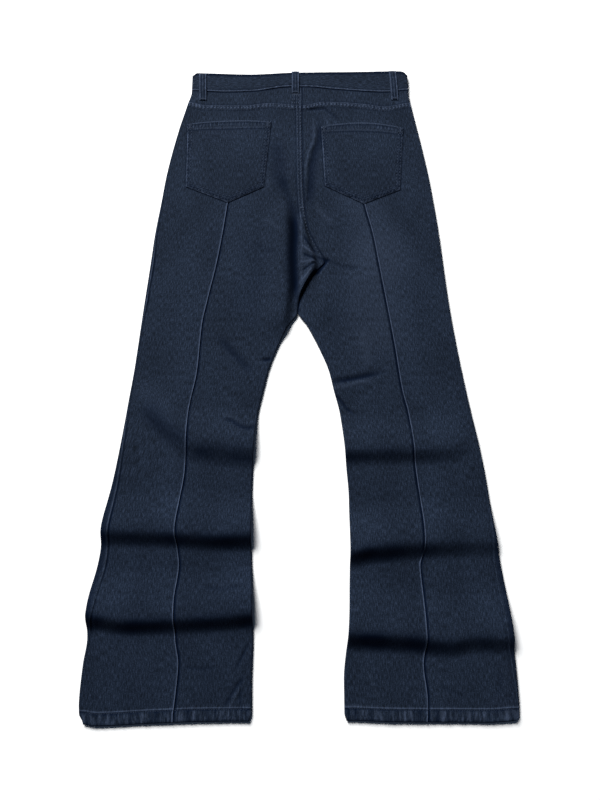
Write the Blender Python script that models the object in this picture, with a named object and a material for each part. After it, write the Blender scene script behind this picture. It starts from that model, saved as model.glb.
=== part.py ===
"""Bootcut jeans laid flat with the back up, as the solids of their cut pieces.

X runs across the garment, Y runs up to the waist and Z rises from the surface that the jeans lie on.
The origin is on that surface, under the middle of the outline. Left and right are the wearer's.
Sizes are in millimetres and become metres where a mesh is made.
"""

import math
from collections import namedtuple

import bmesh
import bpy
from mathutils import Vector

MILLIMETRE = 0.001

# Cloth and seams
WALL = 1.5
SEAM_GAP = 0.3
EDGE_RADIUS = 2.6
TWO_LAYERS = 4.8
LEG_RIDGE = 1.0
LEG_RIDGE_UNDER_POCKET = 0.2
LEG_RIDGE_WIDTH = 3.0

# Lengths from the middle of the garment
WAIST_Y = 516.0
YOKE_Y = 488.0
CROTCH_Y = 177.0
LEGS_APART_Y = 86.0
HEM_Y = -554.0
HEM_DEPTH = 19.0
HEM_STEP = 0.6
HEM_WALL = 2.0
TOP_BEND_START = 400.0
HEM_BEND_START = -490.0

# The inner curl opens over this stretch round the crotch
CURL_FROM_Y = 212.0
CURL_FULL_Y = 160.0
SEAM_FLAT = 6.0

# Waistband, raised by the thickness of the hidden front loops
BAND_WALL = 2.2
BAND_HEIGHT = 6.0
BAND_RADIUS = 3.0
WAIST_LIFT = 1.6
WAIST_LIFT_FROM = 452.0
WAIST_LIFT_FULL = 491.0
BAND_END_GAP = 0.6

# Patches and loops
PATCH_WALL = 1.3
PATCH_CLEAR = 0.5
POCKET_HEM = 12.0
POCKET_HEM_STEP = 0.5
LOOP_WIDTH = 13.5
LOOP_WALL = 1.3
LOOP_BOW = 0.9
LOOP_RAMP = 10.0
FRONT_LOOP_X = 118.0
FRONT_LOOP_FOOT_Y = 497.0
FRONT_LOOP_HEAD_Y = 550.0
BUTTON_RADIUS = 8.5
BUTTON_THICK = 1.2
BUTTON_X = 14.0
BUTTON_Y = 534.0

Section = namedtuple("Section", "y outer leg_seam wrap")
Edge = namedtuple("Edge", "y x")
Line = namedtuple("Line", "x y")
Fold = namedtuple("Fold", "name line heights north south bend")
Rise = namedtuple("Rise", "line left right height low high")
Patch = namedtuple("Patch", "mouth_left mouth_right foot_left foot_tip foot_right mouth_rise")
Loop = namedtuple("Loop", "name head foot")
Spot = namedtuple("Spot", "x share out up bump")

# Outline of each half: outer edge, back leg seam, and how far the front wraps over the edge
LEFT_SECTIONS = (
    Section(WAIST_Y, -198, -104, 3.0),
    Section(YOKE_Y, -205, -107, 3.0),
    Section(440, -218, -110, 3.0),
    Section(344, -237, -118, 3.0),
    Section(289, -244, -126, 4.0),
    Section(228, -252, -134, 5.5),
    Section(171, -257, -143, 7.5),
    Section(107, -263, -156, 7.0),
    Section(62, -267, -164, 5.0),
    Section(-16, -274, -169, 3.5),
    Section(-92, -283, -181, 5.0),
    Section(-182, -295, -183, 10.0),
    Section(-230, -303, -189, 13.0),
    Section(-276, -309, -193, 14.0),
    Section(-307, -310, -189, 14.0),
    Section(-330, -313, -186, 15.0),
    Section(-381, -321, -190, 14.0),
    Section(-415, -323, -189, 10.0),
    Section(-439, -321, -187, 6.0),
    Section(-475, -325, -181, 4.0),
    Section(-523, -327, -184, 3.5),
    Section(-546, -325, -186, 3.5),
    Section(HEM_Y, -319, -186, 3.5),
)
RIGHT_SECTIONS = (
    Section(WAIST_Y, 201, 91, 3.0),
    Section(YOKE_Y, 205, 93, 3.0),
    Section(440, 214.5, 98, 3.0),
    Section(344, 231, 107, 3.0),
    Section(289, 238, 115, 3.0),
    Section(228, 244.5, 129, 3.0),
    Section(171, 249, 138, 3.0),
    Section(107, 254.5, 148, 3.0),
    Section(27, 264, 160, 3.0),
    Section(-50, 275.5, 170, 3.0),
    Section(-92, 282.5, 179, 3.5),
    Section(-182, 297.5, 187, 5.0),
    Section(-276, 307, 195, 8.0),
    Section(-307, 311, 194, 11.0),
    Section(-330, 313.5, 188, 13.0),
    Section(-381, 320, 191, 14.0),
    Section(-439, 324, 192, 12.0),
    Section(-475, 326, 187, 9.0),
    Section(-523, 327, 191, 6.0),
    Section(-546, 326, 190, 5.0),
    Section(HEM_Y, 320, 189, 5.0),
)

# Seat seam down to the crotch point, then the line along which the two legs touch
MIDDLE_LINE = (
    Edge(WAIST_Y, 4),
    Edge(YOKE_Y, 4),
    Edge(395, 5),
    Edge(334, 6),
    Edge(280, 9),
    Edge(241, 15),
    Edge(222, 22),
    Edge(203, 31),
    Edge(186, 41),
    Edge(CROTCH_Y, 45),
    Edge(166, 36),
    Edge(149, 22),
    Edge(131, 12),
    Edge(111, 3),
    Edge(96, -1),
    Edge(LEGS_APART_Y, -2),
)
LEFT_INNER = (
    Edge(LEGS_APART_Y, -2),
    Edge(62, -17),
    Edge(27, -34.5),
    Edge(-16, -50.5),
    Edge(-50, -58.5),
    Edge(-92, -67.5),
    Edge(-134, -72),
    Edge(-230, -75),
    Edge(-307, -74),
    Edge(-381, -71),
    Edge(-439, -69.5),
    Edge(-496, -70.5),
    Edge(-542, -70),
    Edge(HEM_Y, -73),
)
RIGHT_INNER = (
    Edge(LEGS_APART_Y, -2),
    Edge(62, 13),
    Edge(27, 31),
    Edge(-16, 49),
    Edge(-50, 57),
    Edge(-92, 67),
    Edge(-182, 76),
    Edge(-230, 79),
    Edge(-307, 79),
    Edge(-381, 77),
    Edge(-439, 73),
    Edge(-496, 67),
    Edge(-542, 67),
    Edge(HEM_Y, 70),
)

# Seams and edges that run across the garment
WAIST_TOP = (
    Line(-196, 549),
    Line(-190, 554),
    Line(-156, 553),
    Line(-91, 551),
    Line(-12, 555),
    Line(94, 556.5),
    Line(186, 558),
    Line(194, 556),
    Line(200, 550),
)
WAIST_SEAM = (
    Line(-198, 517),
    Line(-137, 514),
    Line(-91, 515),
    Line(-17, 525),
    Line(11, 525),
    Line(75, 519),
    Line(158, 514),
    Line(199, 518),
)
YOKE_SEAM = (
    Line(-205, 493),
    Line(-173, 486),
    Line(-99, 485),
    Line(-54, 490),
    Line(5, 486),
    Line(47, 493),
    Line(121, 488),
    Line(157, 483),
    Line(205, 491),
)
LEFT_HEM = (
    Line(-320, -557),
    Line(-300, -559.5),
    Line(-219, -556),
    Line(-146, -553.5),
    Line(-72, -553),
)
RIGHT_HEM = (
    Line(70, -552),
    Line(149, -554),
    Line(281, -554.5),
    Line(320, -552.5),
)

# Creases that run across a leg: their shaded line, height along it, and reach up and down the leg
LEFT_FOLDS = (
    Fold(
        name="knee",
        line=(Line(-270, -84), Line(-226, -114), Line(-184, -148), Line(-135, -158), Line(-76, -163)),
        heights=(Line(-275, 1), Line(-235, 5), Line(-180, 8), Line(-76, 9)),
        north=60,
        south=22,
        bend=110,
    ),
    Fold(
        name="calf",
        line=(Line(-300, -289), Line(-191, -292), Line(-131, -296), Line(-78, -295)),
        heights=(Line(-310, 11), Line(-190, 13), Line(-78, 15)),
        north=70,
        south=25,
        bend=50,
    ),
    Fold(
        name="shin",
        line=(Line(-321, -414), Line(-257, -421), Line(-188, -419), Line(-113, -415), Line(-73, -411)),
        heights=(Line(-321, 14), Line(-190, 13), Line(-73, 14)),
        north=75,
        south=23,
        bend=50,
    ),
)
RIGHT_FOLDS = (
    Fold(
        name="knee",
        line=(Line(75, -163), Line(154, -161), Line(235, -160), Line(290, -147)),
        heights=(Line(75, 9), Line(190, 8), Line(250, 4), Line(285, 1)),
        north=60,
        south=22,
        bend=60,
    ),
    Fold(
        name="calf",
        line=(Line(80, -320), Line(114, -314), Line(196, -308), Line(266, -305), Line(309, -304)),
        heights=(Line(80, 14), Line(190, 11), Line(309, 6)),
        north=70,
        south=27,
        bend=60,
    ),
    Fold(
        name="shin",
        line=(Line(74, -441), Line(160, -444), Line(228, -451), Line(266, -445), Line(323, -446)),
        heights=(Line(74, 15), Line(190, 14), Line(323, 13)),
        north=75,
        south=27,
        bend=50,
    ),
)

# Soft rises by the seat seam: the line along each, half widths to either side, height, and the stretch
LEFT_RISES = (
    Rise((Edge(60, -38), Edge(140, -30), Edge(230, -30), Edge(300, -34)), 40, 24, 7.0, 30, 305),
    Rise((Edge(90, -1), Edge(130, 4), Edge(170, 16), Edge(215, 8), Edge(260, 2)), 9, 13, 6.0, 88, 275),
)
RIGHT_RISES = (
    Rise((Edge(60, 40), Edge(140, 50), Edge(250, 48), Edge(300, 44)), 20, 50, 3.0, 50, 290),
)

LEFT_POCKET = Patch((-203, 447), (-51, 452), (-201, 321), (-126, 290), (-63, 321), 4)
RIGHT_POCKET = Patch((40, 442), (189, 439), (46, 323), (114, 288), (179, 315), 9)
BACK_LOOPS = (
    Loop("belt_loop_back_left", (-178.5, 552), (-176.5, 496)),
    Loop("belt_loop_back_centre", (-7, 554), (-7, 511)),
    Loop("belt_loop_back_right", (172.5, 557), (175.5, 497)),
)

# How finely the pieces are divided
ROW_STEP = 60.0
SEAT_ROWS = (470, 440, 405, 370, 335, 300, 275, 250, 228, 206, 189, 177, 164, 146, 127, 108, 90, 70)
FOLD_ROWS_UP = (0.3, 0.65, 1.0)
FOLD_ROWS_DOWN = (0.0, 0.35, 0.7, 1.0)
OUTER_SHARES = (0.0, 0.33, 0.67, 1.0)
INNER_SHARES = (0.3, 0.58, 0.76, 0.87, 0.945, 1.0)
CURL_STEPS = (0.5, 1.0)
FLAT_AFTER_SEAM = 5.0


def remove_everything():
    """Start from an empty scene."""
    for thing in list(bpy.data.objects):
        bpy.data.objects.remove(thing)


def smooth_step(value):
    """Rise smoothly from 0 to 1 while value does."""
    value = min(max(value, 0.0), 1.0)
    return value * value * (3 - 2 * value)


def bell(value):
    """A smooth bump that is 1 at 0 and 0 from 1 outwards on both sides."""
    return math.cos(math.pi / 2 * value) ** 2 if abs(value) < 1 else 0.0


def along(points, value):
    """Read a smooth curve through (place, height) points, straight past both ends' heights."""
    places = [p[0] for p in points]
    heights = [p[1] for p in points]
    if places[0] > places[-1]:
        places, heights = places[::-1], heights[::-1]
    if value <= places[0]:
        return heights[0]
    if value >= places[-1]:
        return heights[-1]
    right = next(i for i, place in enumerate(places) if place >= value)
    left = right - 1
    width = places[right] - places[left]
    share = (value - places[left]) / width
    start = slope(places, heights, left) * width
    end = slope(places, heights, right) * width
    cube, square = share**3, share**2
    return (
        (2 * cube - 3 * square + 1) * heights[left]
        + (cube - 2 * square + share) * start
        + (3 * square - 2 * cube) * heights[right]
        + (cube - square) * end
    )


def slope(places, heights, at):
    """The curve's slope at a point: level at the ends and at peaks, else the gentler mean."""
    if at in (0, len(places) - 1):
        return 0.0
    before = (heights[at] - heights[at - 1]) / (places[at] - places[at - 1])
    after = (heights[at + 1] - heights[at]) / (places[at + 1] - places[at])
    return 2 * before * after / (before + after) if before * after > 0 else 0.0


def column(rows, name, y):
    """Read one named column of a section table at a length y."""
    return along([(row.y, getattr(row, name)) for row in rows], y)


class Half:
    """One half of the jeans: its outline, its folds, and which way its outer edge lies."""

    def __init__(self, name, side, sections, inner, hem, folds, rises):
        self.name = name
        self.side = side
        self.sections = sections
        self.inner_rows = inner
        self.hem = hem
        self.folds = folds
        self.rises = rises

    def outer(self, y):
        return column(self.sections, "outer", y)

    def leg_seam(self, y):
        return column(self.sections, "leg_seam", y)

    def wrap(self, y):
        return column(self.sections, "wrap", y)

    def inner(self, y):
        """The edge next to the other half, with the seam's gap where the halves meet."""
        rows = MIDDLE_LINE if y >= LEGS_APART_Y else self.inner_rows
        return column(rows, "x", y) + self.side * SEAM_GAP / 2

    def on_row(self, read, station):
        """Read a table where a bent row really lies."""
        x = read(station)
        for _ in range(3):
            x = read(self.place(station, x))
        return x

    def place(self, station, x):
        """The length y at x on a row that bends with the seams, folds and hem near it."""
        if station > YOKE_Y:
            share = (station - YOKE_Y) / (WAIST_Y - YOKE_Y)
            return (1 - share) * along(YOKE_SEAM, x) + share * along(WAIST_SEAM, x)
        y = station
        near_top = smooth_step((station - TOP_BEND_START) / (YOKE_Y - TOP_BEND_START))
        y += near_top * (along(YOKE_SEAM, x) - YOKE_Y)
        near_hem = smooth_step((station - HEM_BEND_START) / (HEM_Y - HEM_BEND_START))
        y += near_hem * (along(self.hem, x) - HEM_Y)
        for fold in self.folds:
            middle = fold_middle(fold)
            y += bell((station - middle) / fold.bend) * (along(fold.line, x) - middle)
        return y

    def lift(self, x, y):
        """How far folds raise both layers of cloth off the surface."""
        height = waist_lift(y)
        for fold in self.folds:
            past = y - along(fold.line, x) - fold.south / 2
            reach = fold.north if past > 0 else fold.south
            height += along(fold.heights, x) * bell(past / reach)
        for rise in self.rises:
            past = x - along(rise.line, y)
            reach = rise.right if past > 0 else rise.left
            middle, half = (rise.low + rise.high) / 2, (rise.high - rise.low) / 2
            stretch = smooth_step(2.5 * (1 - abs(y - middle) / half))
            height += rise.height * stretch * bell(past / reach) * self.clear_of_middle(x, y)
        return height

    def clear_of_middle(self, x, y):
        """Fades the rises out at the line between the halves, so that both sides meet level."""
        if y < LEGS_APART_Y:
            return 1.0
        return smooth_step(abs(x - column(MIDDLE_LINE, "x", y)) / 9)

    def point(self, station, spot):
        """A point of the cloth's outer face, on a row and at a spot of the section."""
        y = self.place(station, spot.x)
        height = TWO_LAYERS + HEM_STEP * in_hem(station)
        z = self.lift(spot.x, y) + spot.share * height + spot.bump
        return Vector((spot.x, y, z))

    def outer_spot(self, station, arc):
        """The spot this far round from the outer edge: above it where positive, else below."""
        quarter = math.pi / 2 * EDGE_RADIUS
        angle = min(max(arc / EDGE_RADIUS, -math.pi / 2), math.pi / 2)
        inwards = EDGE_RADIUS * (1 - math.cos(angle)) + max(abs(arc) - quarter, 0)
        x = self.on_row(self.outer, station) - self.side * inwards
        share = (1 + math.sin(angle)) / 2
        return Spot(x, share, self.side * math.cos(angle), math.sin(angle), 0)

    def inner_spot(self, station, step, top):
        """The spot this share of the way round the inner curl, from the flat to the seam."""
        curled = smooth_step((CURL_FROM_Y - station) / (CURL_FROM_Y - CURL_FULL_Y))
        seam_angle = math.pi / 2 * (1 - curled)
        angle = math.pi / 2 * (1 - curled * step)
        angle = max(angle, SEAM_GAP / 2 / EDGE_RADIUS)
        inwards = curled * EDGE_RADIUS * (math.cos(seam_angle) - math.cos(angle))
        inwards = max(inwards, 0) + (1 - curled) * (1 - step) * SEAM_FLAT
        x = self.on_row(self.inner, station) + self.side * inwards
        up = math.sin(angle) if top else -math.sin(angle)
        return Spot(x, (1 + up) / 2, -self.side * math.cos(angle), up, 0)

    def seam_arc(self, station):
        """The leg seam's distance round from the outer edge."""
        across = abs(self.on_row(self.outer, station) - self.on_row(self.leg_seam, station))
        return (math.pi / 2 - 1) * EDGE_RADIUS + across

    def ridge(self, station):
        """The height of the raised leg seam, pressed flat under the back pocket."""
        under = smooth_step((station - 262) / 12) * smooth_step((494 - station) / 12)
        return LEG_RIDGE + under * (LEG_RIDGE_UNDER_POCKET - LEG_RIDGE)


def fold_middle(fold):
    """The mean length y of a fold's line, which its rows bend round."""
    return sum(point[1] for point in fold.line) / len(fold.line)


def waist_lift(y):
    """The hidden front loops raise the top of the garment by their thickness."""
    return WAIST_LIFT * smooth_step((y - WAIST_LIFT_FROM) / (WAIST_LIFT_FULL - WAIST_LIFT_FROM))


def in_hem(station):
    """1 on the turned-up hem and 0 above it."""
    return 1 if station < HEM_Y + HEM_DEPTH else 0


def stations(half, lowest, highest):
    """The rows of a leg: close together on its folds, and no further apart than the row step."""
    rows = {HEM_Y, HEM_Y + 8, HEM_Y + HEM_DEPTH - 0.7, HEM_Y + HEM_DEPTH + 0.7, YOKE_Y, WAIST_Y}
    rows |= set(SEAT_ROWS)
    for fold in half.folds:
        crest = fold_middle(fold) + fold.south / 2
        rows |= {crest + fold.north * share for share in FOLD_ROWS_UP}
        rows |= {crest - fold.south * share for share in FOLD_ROWS_DOWN}
    kept = []
    for row in sorted(rows):
        if kept and row - kept[-1] > ROW_STEP:
            gaps = math.ceil((row - kept[-1]) / ROW_STEP)
            start = kept[-1]
            kept += [start + (row - start) * i / gaps for i in range(1, gaps)]
        if not kept or row - kept[-1] > 1.0:
            kept.append(row)
    return [row for row in kept if lowest <= row <= highest]


def wall(name, rows, columns, outer_point, inward, material):
    """Make a closed wall of cloth: a grid of outer points, extruded inwards by its thickness."""
    cloth = bmesh.new()
    bmesh.ops.create_grid(cloth, x_segments=columns - 1, y_segments=rows - 1, size=1)
    inwards = {}
    for corner in cloth.verts:
        row = round((corner.co.y + 1) / 2 * (rows - 1))
        across = round((corner.co.x + 1) / 2 * (columns - 1))
        corner.co = outer_point(row, across) * MILLIMETRE
        inwards[corner] = inward(row, across) * MILLIMETRE
    outer_corners = list(cloth.verts)
    made = bmesh.ops.extrude_face_region(cloth, geom=list(cloth.faces), use_keep_orig=True)
    copies = [item for item in made["geom"] if isinstance(item, bmesh.types.BMVert)]
    nearest = {tuple(corner.co): corner for corner in outer_corners}
    for copy in copies:
        copy.co += inwards[nearest[tuple(copy.co)]]
    bmesh.ops.recalc_face_normals(cloth, faces=list(cloth.faces))
    # Front and back split their bent quads the same way, so that their facets stay clear of each other
    bmesh.ops.triangulate(cloth, faces=list(cloth.faces), quad_method="SHORT_EDGE")
    add_piece(name, cloth, material)


def add_piece(name, cloth, material):
    """Turn a finished bmesh into a smooth-shaded object with its own material."""
    mesh = bpy.data.meshes.new(name)
    cloth.to_mesh(mesh)
    cloth.free()
    mesh.shade_smooth()
    mesh.set_sharp_from_angle(angle=math.radians(40))
    mesh.materials.append(material)
    piece = bpy.data.objects.new(name, mesh)
    bpy.context.scene.collection.objects.link(piece)


def finish(name, colour, roughness, metallic):
    """A plain material from linear colour, roughness and metallic value."""
    material = bpy.data.materials.new(name)
    material.use_nodes = True
    shader = material.node_tree.nodes["Principled BSDF"]
    shader.inputs["Base Color"].default_value = (*colour, 1)
    shader.inputs["Roughness"].default_value = roughness
    shader.inputs["Metallic"].default_value = metallic
    return material


def panel(name, half, rows, spots, material):
    """One cut panel: spots(station) lists its points across each row."""
    sections = [spots(station) for station in rows]

    def outer_point(row, across):
        return half.point(rows[row], sections[row][across])

    def inward(row, across):
        spot = sections[row][across]
        thick = HEM_WALL if in_hem(rows[row]) else WALL
        return Vector((-spot.out, 0, -spot.up)) * thick

    wall(name, len(rows), len(sections[0]), outer_point, inward, material)


def outer_flat_spots(half, station, top):
    """Across the flat of a leg's outer half, up to the foot of the raised leg seam."""
    first = max(half.wrap(station), math.pi / 2 * EDGE_RADIUS) + FLAT_AFTER_SEAM
    last = half.seam_arc(station) - LEG_RIDGE_WIDTH
    arcs = [first + (last - first) * share for share in OUTER_SHARES]
    return [half.outer_spot(station, arc if top else -arc) for arc in arcs]


def inner_flat_spots(half, station, top):
    """Across the flat of a leg's inner half, closer together towards the seat seam."""
    arc = half.seam_arc(station) + LEG_RIDGE_WIDTH
    first = half.outer_spot(station, arc if top else -arc)
    last = half.inner_spot(station, 0, top)
    return [first] + [first._replace(x=first.x + (last.x - first.x) * share) for share in INNER_SHARES]


def back_outer_spots(half, station):
    """From the outseam across to the raised leg seam."""
    start = half.outer_spot(station, half.wrap(station) + SEAM_GAP / 2)
    seam = half.outer_spot(station, half.seam_arc(station) - SEAM_GAP / 2)
    return [start] + outer_flat_spots(half, station, True) + [seam._replace(bump=half.ridge(station))]


def back_inner_spots(half, station):
    """From the raised leg seam across to the seat seam or the inner edge."""
    seam = half.outer_spot(station, half.seam_arc(station) + SEAM_GAP / 2)
    spots = [seam._replace(bump=half.ridge(station))] + inner_flat_spots(half, station, True)
    return spots + [half.inner_spot(station, step, True) for step in CURL_STEPS]


def yoke_spots(half, station):
    """From the outseam across to the seat seam."""
    start = half.outer_spot(station, half.wrap(station) + SEAM_GAP / 2)
    spots = [start] + outer_flat_spots(half, station, True) + inner_flat_spots(half, station, True)
    return spots[:-1] + [half.inner_spot(station, 1, True)]


def front_spots(half, station):
    """From the inner edge or front seam, under the leg and round the outer edge to the outseam."""
    quarter = math.pi / 2 * EDGE_RADIUS
    spots = [half.inner_spot(station, step, False) for step in reversed(CURL_STEPS)]
    spots += reversed(inner_flat_spots(half, station, False))
    spots += reversed(outer_flat_spots(half, station, False))
    last = half.wrap(station) - SEAM_GAP / 2
    arcs = (-quarter, -0.5 * quarter, 0, min(0.5 * quarter, last / 2), last)
    return spots + [half.outer_spot(station, arc) for arc in arcs]


def legs(half, material):
    """The front and the two back panels of one half, and its yoke."""
    side = half.name
    rows = stations(half, HEM_Y, YOKE_Y)
    rows_of_back = rows[:-1] + [YOKE_Y - SEAM_GAP]
    for name, spots in (("back_outer", back_outer_spots), ("back_inner", back_inner_spots)):
        panel(f"{name}_{side}", half, rows_of_back, lambda at, find=spots: find(half, at), material)
    rows_of_front = stations(half, HEM_Y, WAIST_Y)[:-1] + [WAIST_Y - SEAM_GAP]
    panel(f"front_{side}", half, rows_of_front, lambda at: front_spots(half, at), material)
    narrow = [YOKE_Y + 0.01, (YOKE_Y + WAIST_Y) / 2, WAIST_Y - SEAM_GAP]
    panel(f"yoke_{side}", half, narrow, lambda at: yoke_spots(half, at), material)


def waistband(left, right, material):
    """One flattened ring of double cloth whose ends meet under the middle, at the fly."""
    quarter = math.pi / 2
    turns = (-1.0, -0.5, 0.0, 0.5, 1.0)

    def half_ring(half):
        flat = outer_flat_spots(half, WAIST_Y, True) + inner_flat_spots(half, WAIST_Y, True)
        across = [spot.x for spot in flat[:-1]]
        outer = half.outer(WAIST_Y) - half.side * BAND_RADIUS
        under = [(half.side * BAND_END_GAP / 2, -quarter, 0)]
        under += [(x, -quarter, 0) for x in reversed(across)]
        curl = [(outer, quarter * turn, half.side) for turn in turns]
        return under + curl + [(x, quarter, 0) for x in across]

    ring = half_ring(right) + half_ring(left)[::-1]
    shares = (0.0, 0.12, 0.5, 0.88, 1.0)

    def outer_point(row, at):
        x, angle, side = ring[at]
        x += side * BAND_RADIUS * math.cos(angle)
        low = along(WAIST_SEAM, x) + SEAM_GAP / 2
        y = low + (along(WAIST_TOP, x) - low) * shares[row]
        round_corner = 1 - 0.25 * (row == len(shares) - 1)
        z = WAIST_LIFT + BAND_HEIGHT / 2 * (1 + math.sin(angle) * round_corner)
        return Vector((x, y, z))

    def inward(row, at):
        x, angle, side = ring[at]
        round_corner = 1 - 0.25 * (row == len(shares) - 1)
        return Vector((-side * math.cos(angle), 0, -math.sin(angle) * round_corner)) * BAND_WALL

    wall("waistband", len(shares), len(ring), outer_point, inward, material)


def back_pocket(half, patch, material):
    """A patch pocket with a pointed foot and a thicker hemmed mouth, laid on the back panels."""
    tip_share = (patch.foot_tip[0] - patch.foot_left[0]) / (patch.foot_right[0] - patch.foot_left[0])
    across = (0, tip_share * 0.5, tip_share, 0.5 + tip_share * 0.5, 1)
    depth = patch.mouth_left[1] - patch.foot_left[1]
    hem = POCKET_HEM / depth
    down = (1, 0.8, 0.5, hem + 0.012, hem, 0)

    def spot(row, at):
        u, v = across[at], down[row]
        mouth = patch.mouth_left[1] * (1 - u) + patch.mouth_right[1] * u
        mouth += patch.mouth_rise * math.sin(math.pi * u)
        if u <= tip_share:
            foot = patch.foot_left[1] + (patch.foot_tip[1] - patch.foot_left[1]) * u / tip_share
        else:
            rest = (u - tip_share) / (1 - tip_share)
            foot = patch.foot_tip[1] + (patch.foot_right[1] - patch.foot_tip[1]) * rest
        left = patch.mouth_left[0] * (1 - v) + patch.foot_left[0] * v
        right = patch.mouth_right[0] * (1 - v) + patch.foot_right[0] * v
        return left * (1 - u) + right * u, mouth * (1 - v) + foot * v

    def outer_point(row, at):
        x, y = spot(row, at)
        z = half.lift(x, y) + TWO_LAYERS + PATCH_CLEAR + PATCH_WALL
        return Vector((x, y, z + POCKET_HEM_STEP * (down[row] <= hem)))

    def inward(row, at):
        return Vector((0, 0, -PATCH_WALL - POCKET_HEM_STEP * (down[row] <= hem)))

    wall(f"pocket_{half.name}", len(down), len(across), outer_point, inward, material)


def back_loop(loop, material):
    """A belt loop that lies on the waistband and is stitched to the yoke below it."""
    shares = (0, 0.1, 0.2, 0.34, 0.5, 0.75, 1)
    seam = along(WAIST_SEAM, loop.foot[0])
    yoke_face = WAIST_LIFT + TWO_LAYERS
    band_face = WAIST_LIFT + BAND_HEIGHT

    def outer_point(row, at):
        x = loop.foot[0] + (loop.head[0] - loop.foot[0]) * shares[row]
        y = loop.foot[1] + (loop.head[1] - loop.foot[1]) * shares[row]
        risen = smooth_step((y - seam + LOOP_RAMP + 2) / LOOP_RAMP)
        bow = LOOP_BOW * math.sin(math.pi * shares[row])
        z = yoke_face + (band_face - yoke_face) * risen + bow
        return Vector((x + (at - 0.5) * LOOP_WIDTH, y, z + SEAM_GAP + LOOP_WALL))

    def inward(row, at):
        return Vector((0, 0, -LOOP_WALL))

    wall(loop.name, len(shares), 2, outer_point, inward, material)


def front_loop(name, x, material):
    """A hidden belt loop under the waistband, flat against the surface."""
    ends = (FRONT_LOOP_FOOT_Y, FRONT_LOOP_HEAD_Y)

    def outer_point(row, at):
        return Vector((x + (at - 0.5) * LOOP_WIDTH, ends[row], 0))

    def inward(row, at):
        return Vector((0, 0, LOOP_WALL))

    wall(name, 2, 2, outer_point, inward, material)


def button(material):
    """The hidden waistband button, a flat disc against the surface."""
    disc = bmesh.new()
    bmesh.ops.create_circle(disc, cap_ends=True, segments=24, radius=BUTTON_RADIUS * MILLIMETRE)
    made = bmesh.ops.extrude_face_region(disc, geom=list(disc.faces), use_keep_orig=True)
    lifted = [item for item in made["geom"] if isinstance(item, bmesh.types.BMVert)]
    bmesh.ops.translate(disc, verts=lifted, vec=(0, 0, BUTTON_THICK * MILLIMETRE))
    middle = Vector((BUTTON_X, BUTTON_Y, 0)) * MILLIMETRE
    bmesh.ops.translate(disc, verts=list(disc.verts), vec=middle)
    bmesh.ops.recalc_face_normals(disc, faces=list(disc.faces))
    add_piece("button", disc, material)


def main():
    remove_everything()
    denim = finish("dark_indigo_denim", (0.017, 0.026, 0.053), 0.85, 0.0)
    metal = finish("aged_brass", (0.36, 0.25, 0.12), 0.35, 1.0)
    left = Half("left", -1, LEFT_SECTIONS, LEFT_INNER, LEFT_HEM, LEFT_FOLDS, LEFT_RISES)
    right = Half("right", 1, RIGHT_SECTIONS, RIGHT_INNER, RIGHT_HEM, RIGHT_FOLDS, RIGHT_RISES)
    for half, patch in ((left, LEFT_POCKET), (right, RIGHT_POCKET)):
        legs(half, denim)
        back_pocket(half, patch, denim)
        front_loop(f"belt_loop_front_{half.name}", half.side * FRONT_LOOP_X, denim)
    waistband(left, right, denim)
    for loop in BACK_LOOPS:
        back_loop(loop, denim)
    button(metal)


main()
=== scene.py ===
"""The looks of dark indigo bootcut jeans laid flat with the back up.

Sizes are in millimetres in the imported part's own axes: X runs across the garment, Y runs up to the
waist and Z rises from the surface that the jeans lie on. They become metres where a mesh is made.
"""

import logging
import math
from bisect import bisect_left
from collections.abc import Callable, Iterable, Sequence
from dataclasses import dataclass
from enum import Enum
from typing import NamedTuple

import bmesh
import bpy
from mathutils import Matrix, Vector, noise


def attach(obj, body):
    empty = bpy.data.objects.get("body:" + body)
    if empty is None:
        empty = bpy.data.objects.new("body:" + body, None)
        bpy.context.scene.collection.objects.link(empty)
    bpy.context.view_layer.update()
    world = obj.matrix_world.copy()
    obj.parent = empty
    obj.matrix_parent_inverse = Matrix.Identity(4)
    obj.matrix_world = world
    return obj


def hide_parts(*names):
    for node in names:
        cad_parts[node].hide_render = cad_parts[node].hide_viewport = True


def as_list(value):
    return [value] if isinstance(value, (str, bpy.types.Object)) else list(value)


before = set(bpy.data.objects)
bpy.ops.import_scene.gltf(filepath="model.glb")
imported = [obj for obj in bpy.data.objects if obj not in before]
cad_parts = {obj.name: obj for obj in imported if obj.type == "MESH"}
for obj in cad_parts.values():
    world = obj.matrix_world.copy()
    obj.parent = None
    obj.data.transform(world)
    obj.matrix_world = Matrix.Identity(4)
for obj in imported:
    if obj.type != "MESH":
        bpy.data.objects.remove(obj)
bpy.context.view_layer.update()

log = logging.getLogger("jeans")

Points = tuple[tuple[float, float], ...]
Face = Callable[[float, float], float]

MILLIMETRE = 0.001
QUARTER = math.pi / 2

# Cloth
SHELL = 1.0
SEAM_GAP = 0.3
EDGE_RADIUS = 2.6
TWO_LAYERS = 4.8

# Lengths from the middle of the garment
WAIST_Y = 516.0
YOKE_Y = 488.0
SIDE_SEAM_TOP_Y = 300.0
UNDER_POCKET_Y = 282.0
CROTCH_Y = 177.0
LEGS_APART_Y = 86.0
HEM_Y = -554.0
TOP_BEND_START = 400.0
HEM_BEND_START = -490.0
CURL_FROM_Y = 212.0
CURL_FULL_Y = 160.0
SEAM_FLAT = 6.0
MIDDLE_LEVEL = 5.0

# Hem: its band, the step and the thickness of its turned cloth, its rounded edge and its stitches' row
HEM_DEPTH = 19.0
HEM_STEP = 0.6
HEM_WALL = 1.6
HEM_ROUND = 1.8
HEM_ROW = 16.8

# Felled seams of the seat and the yoke: their widths and heights
SEAT_FELL = 8.5
FELL_HEIGHT = 0.8
YOKE_FELL = 8.0
YOKE_HEIGHT = 0.55

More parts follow.
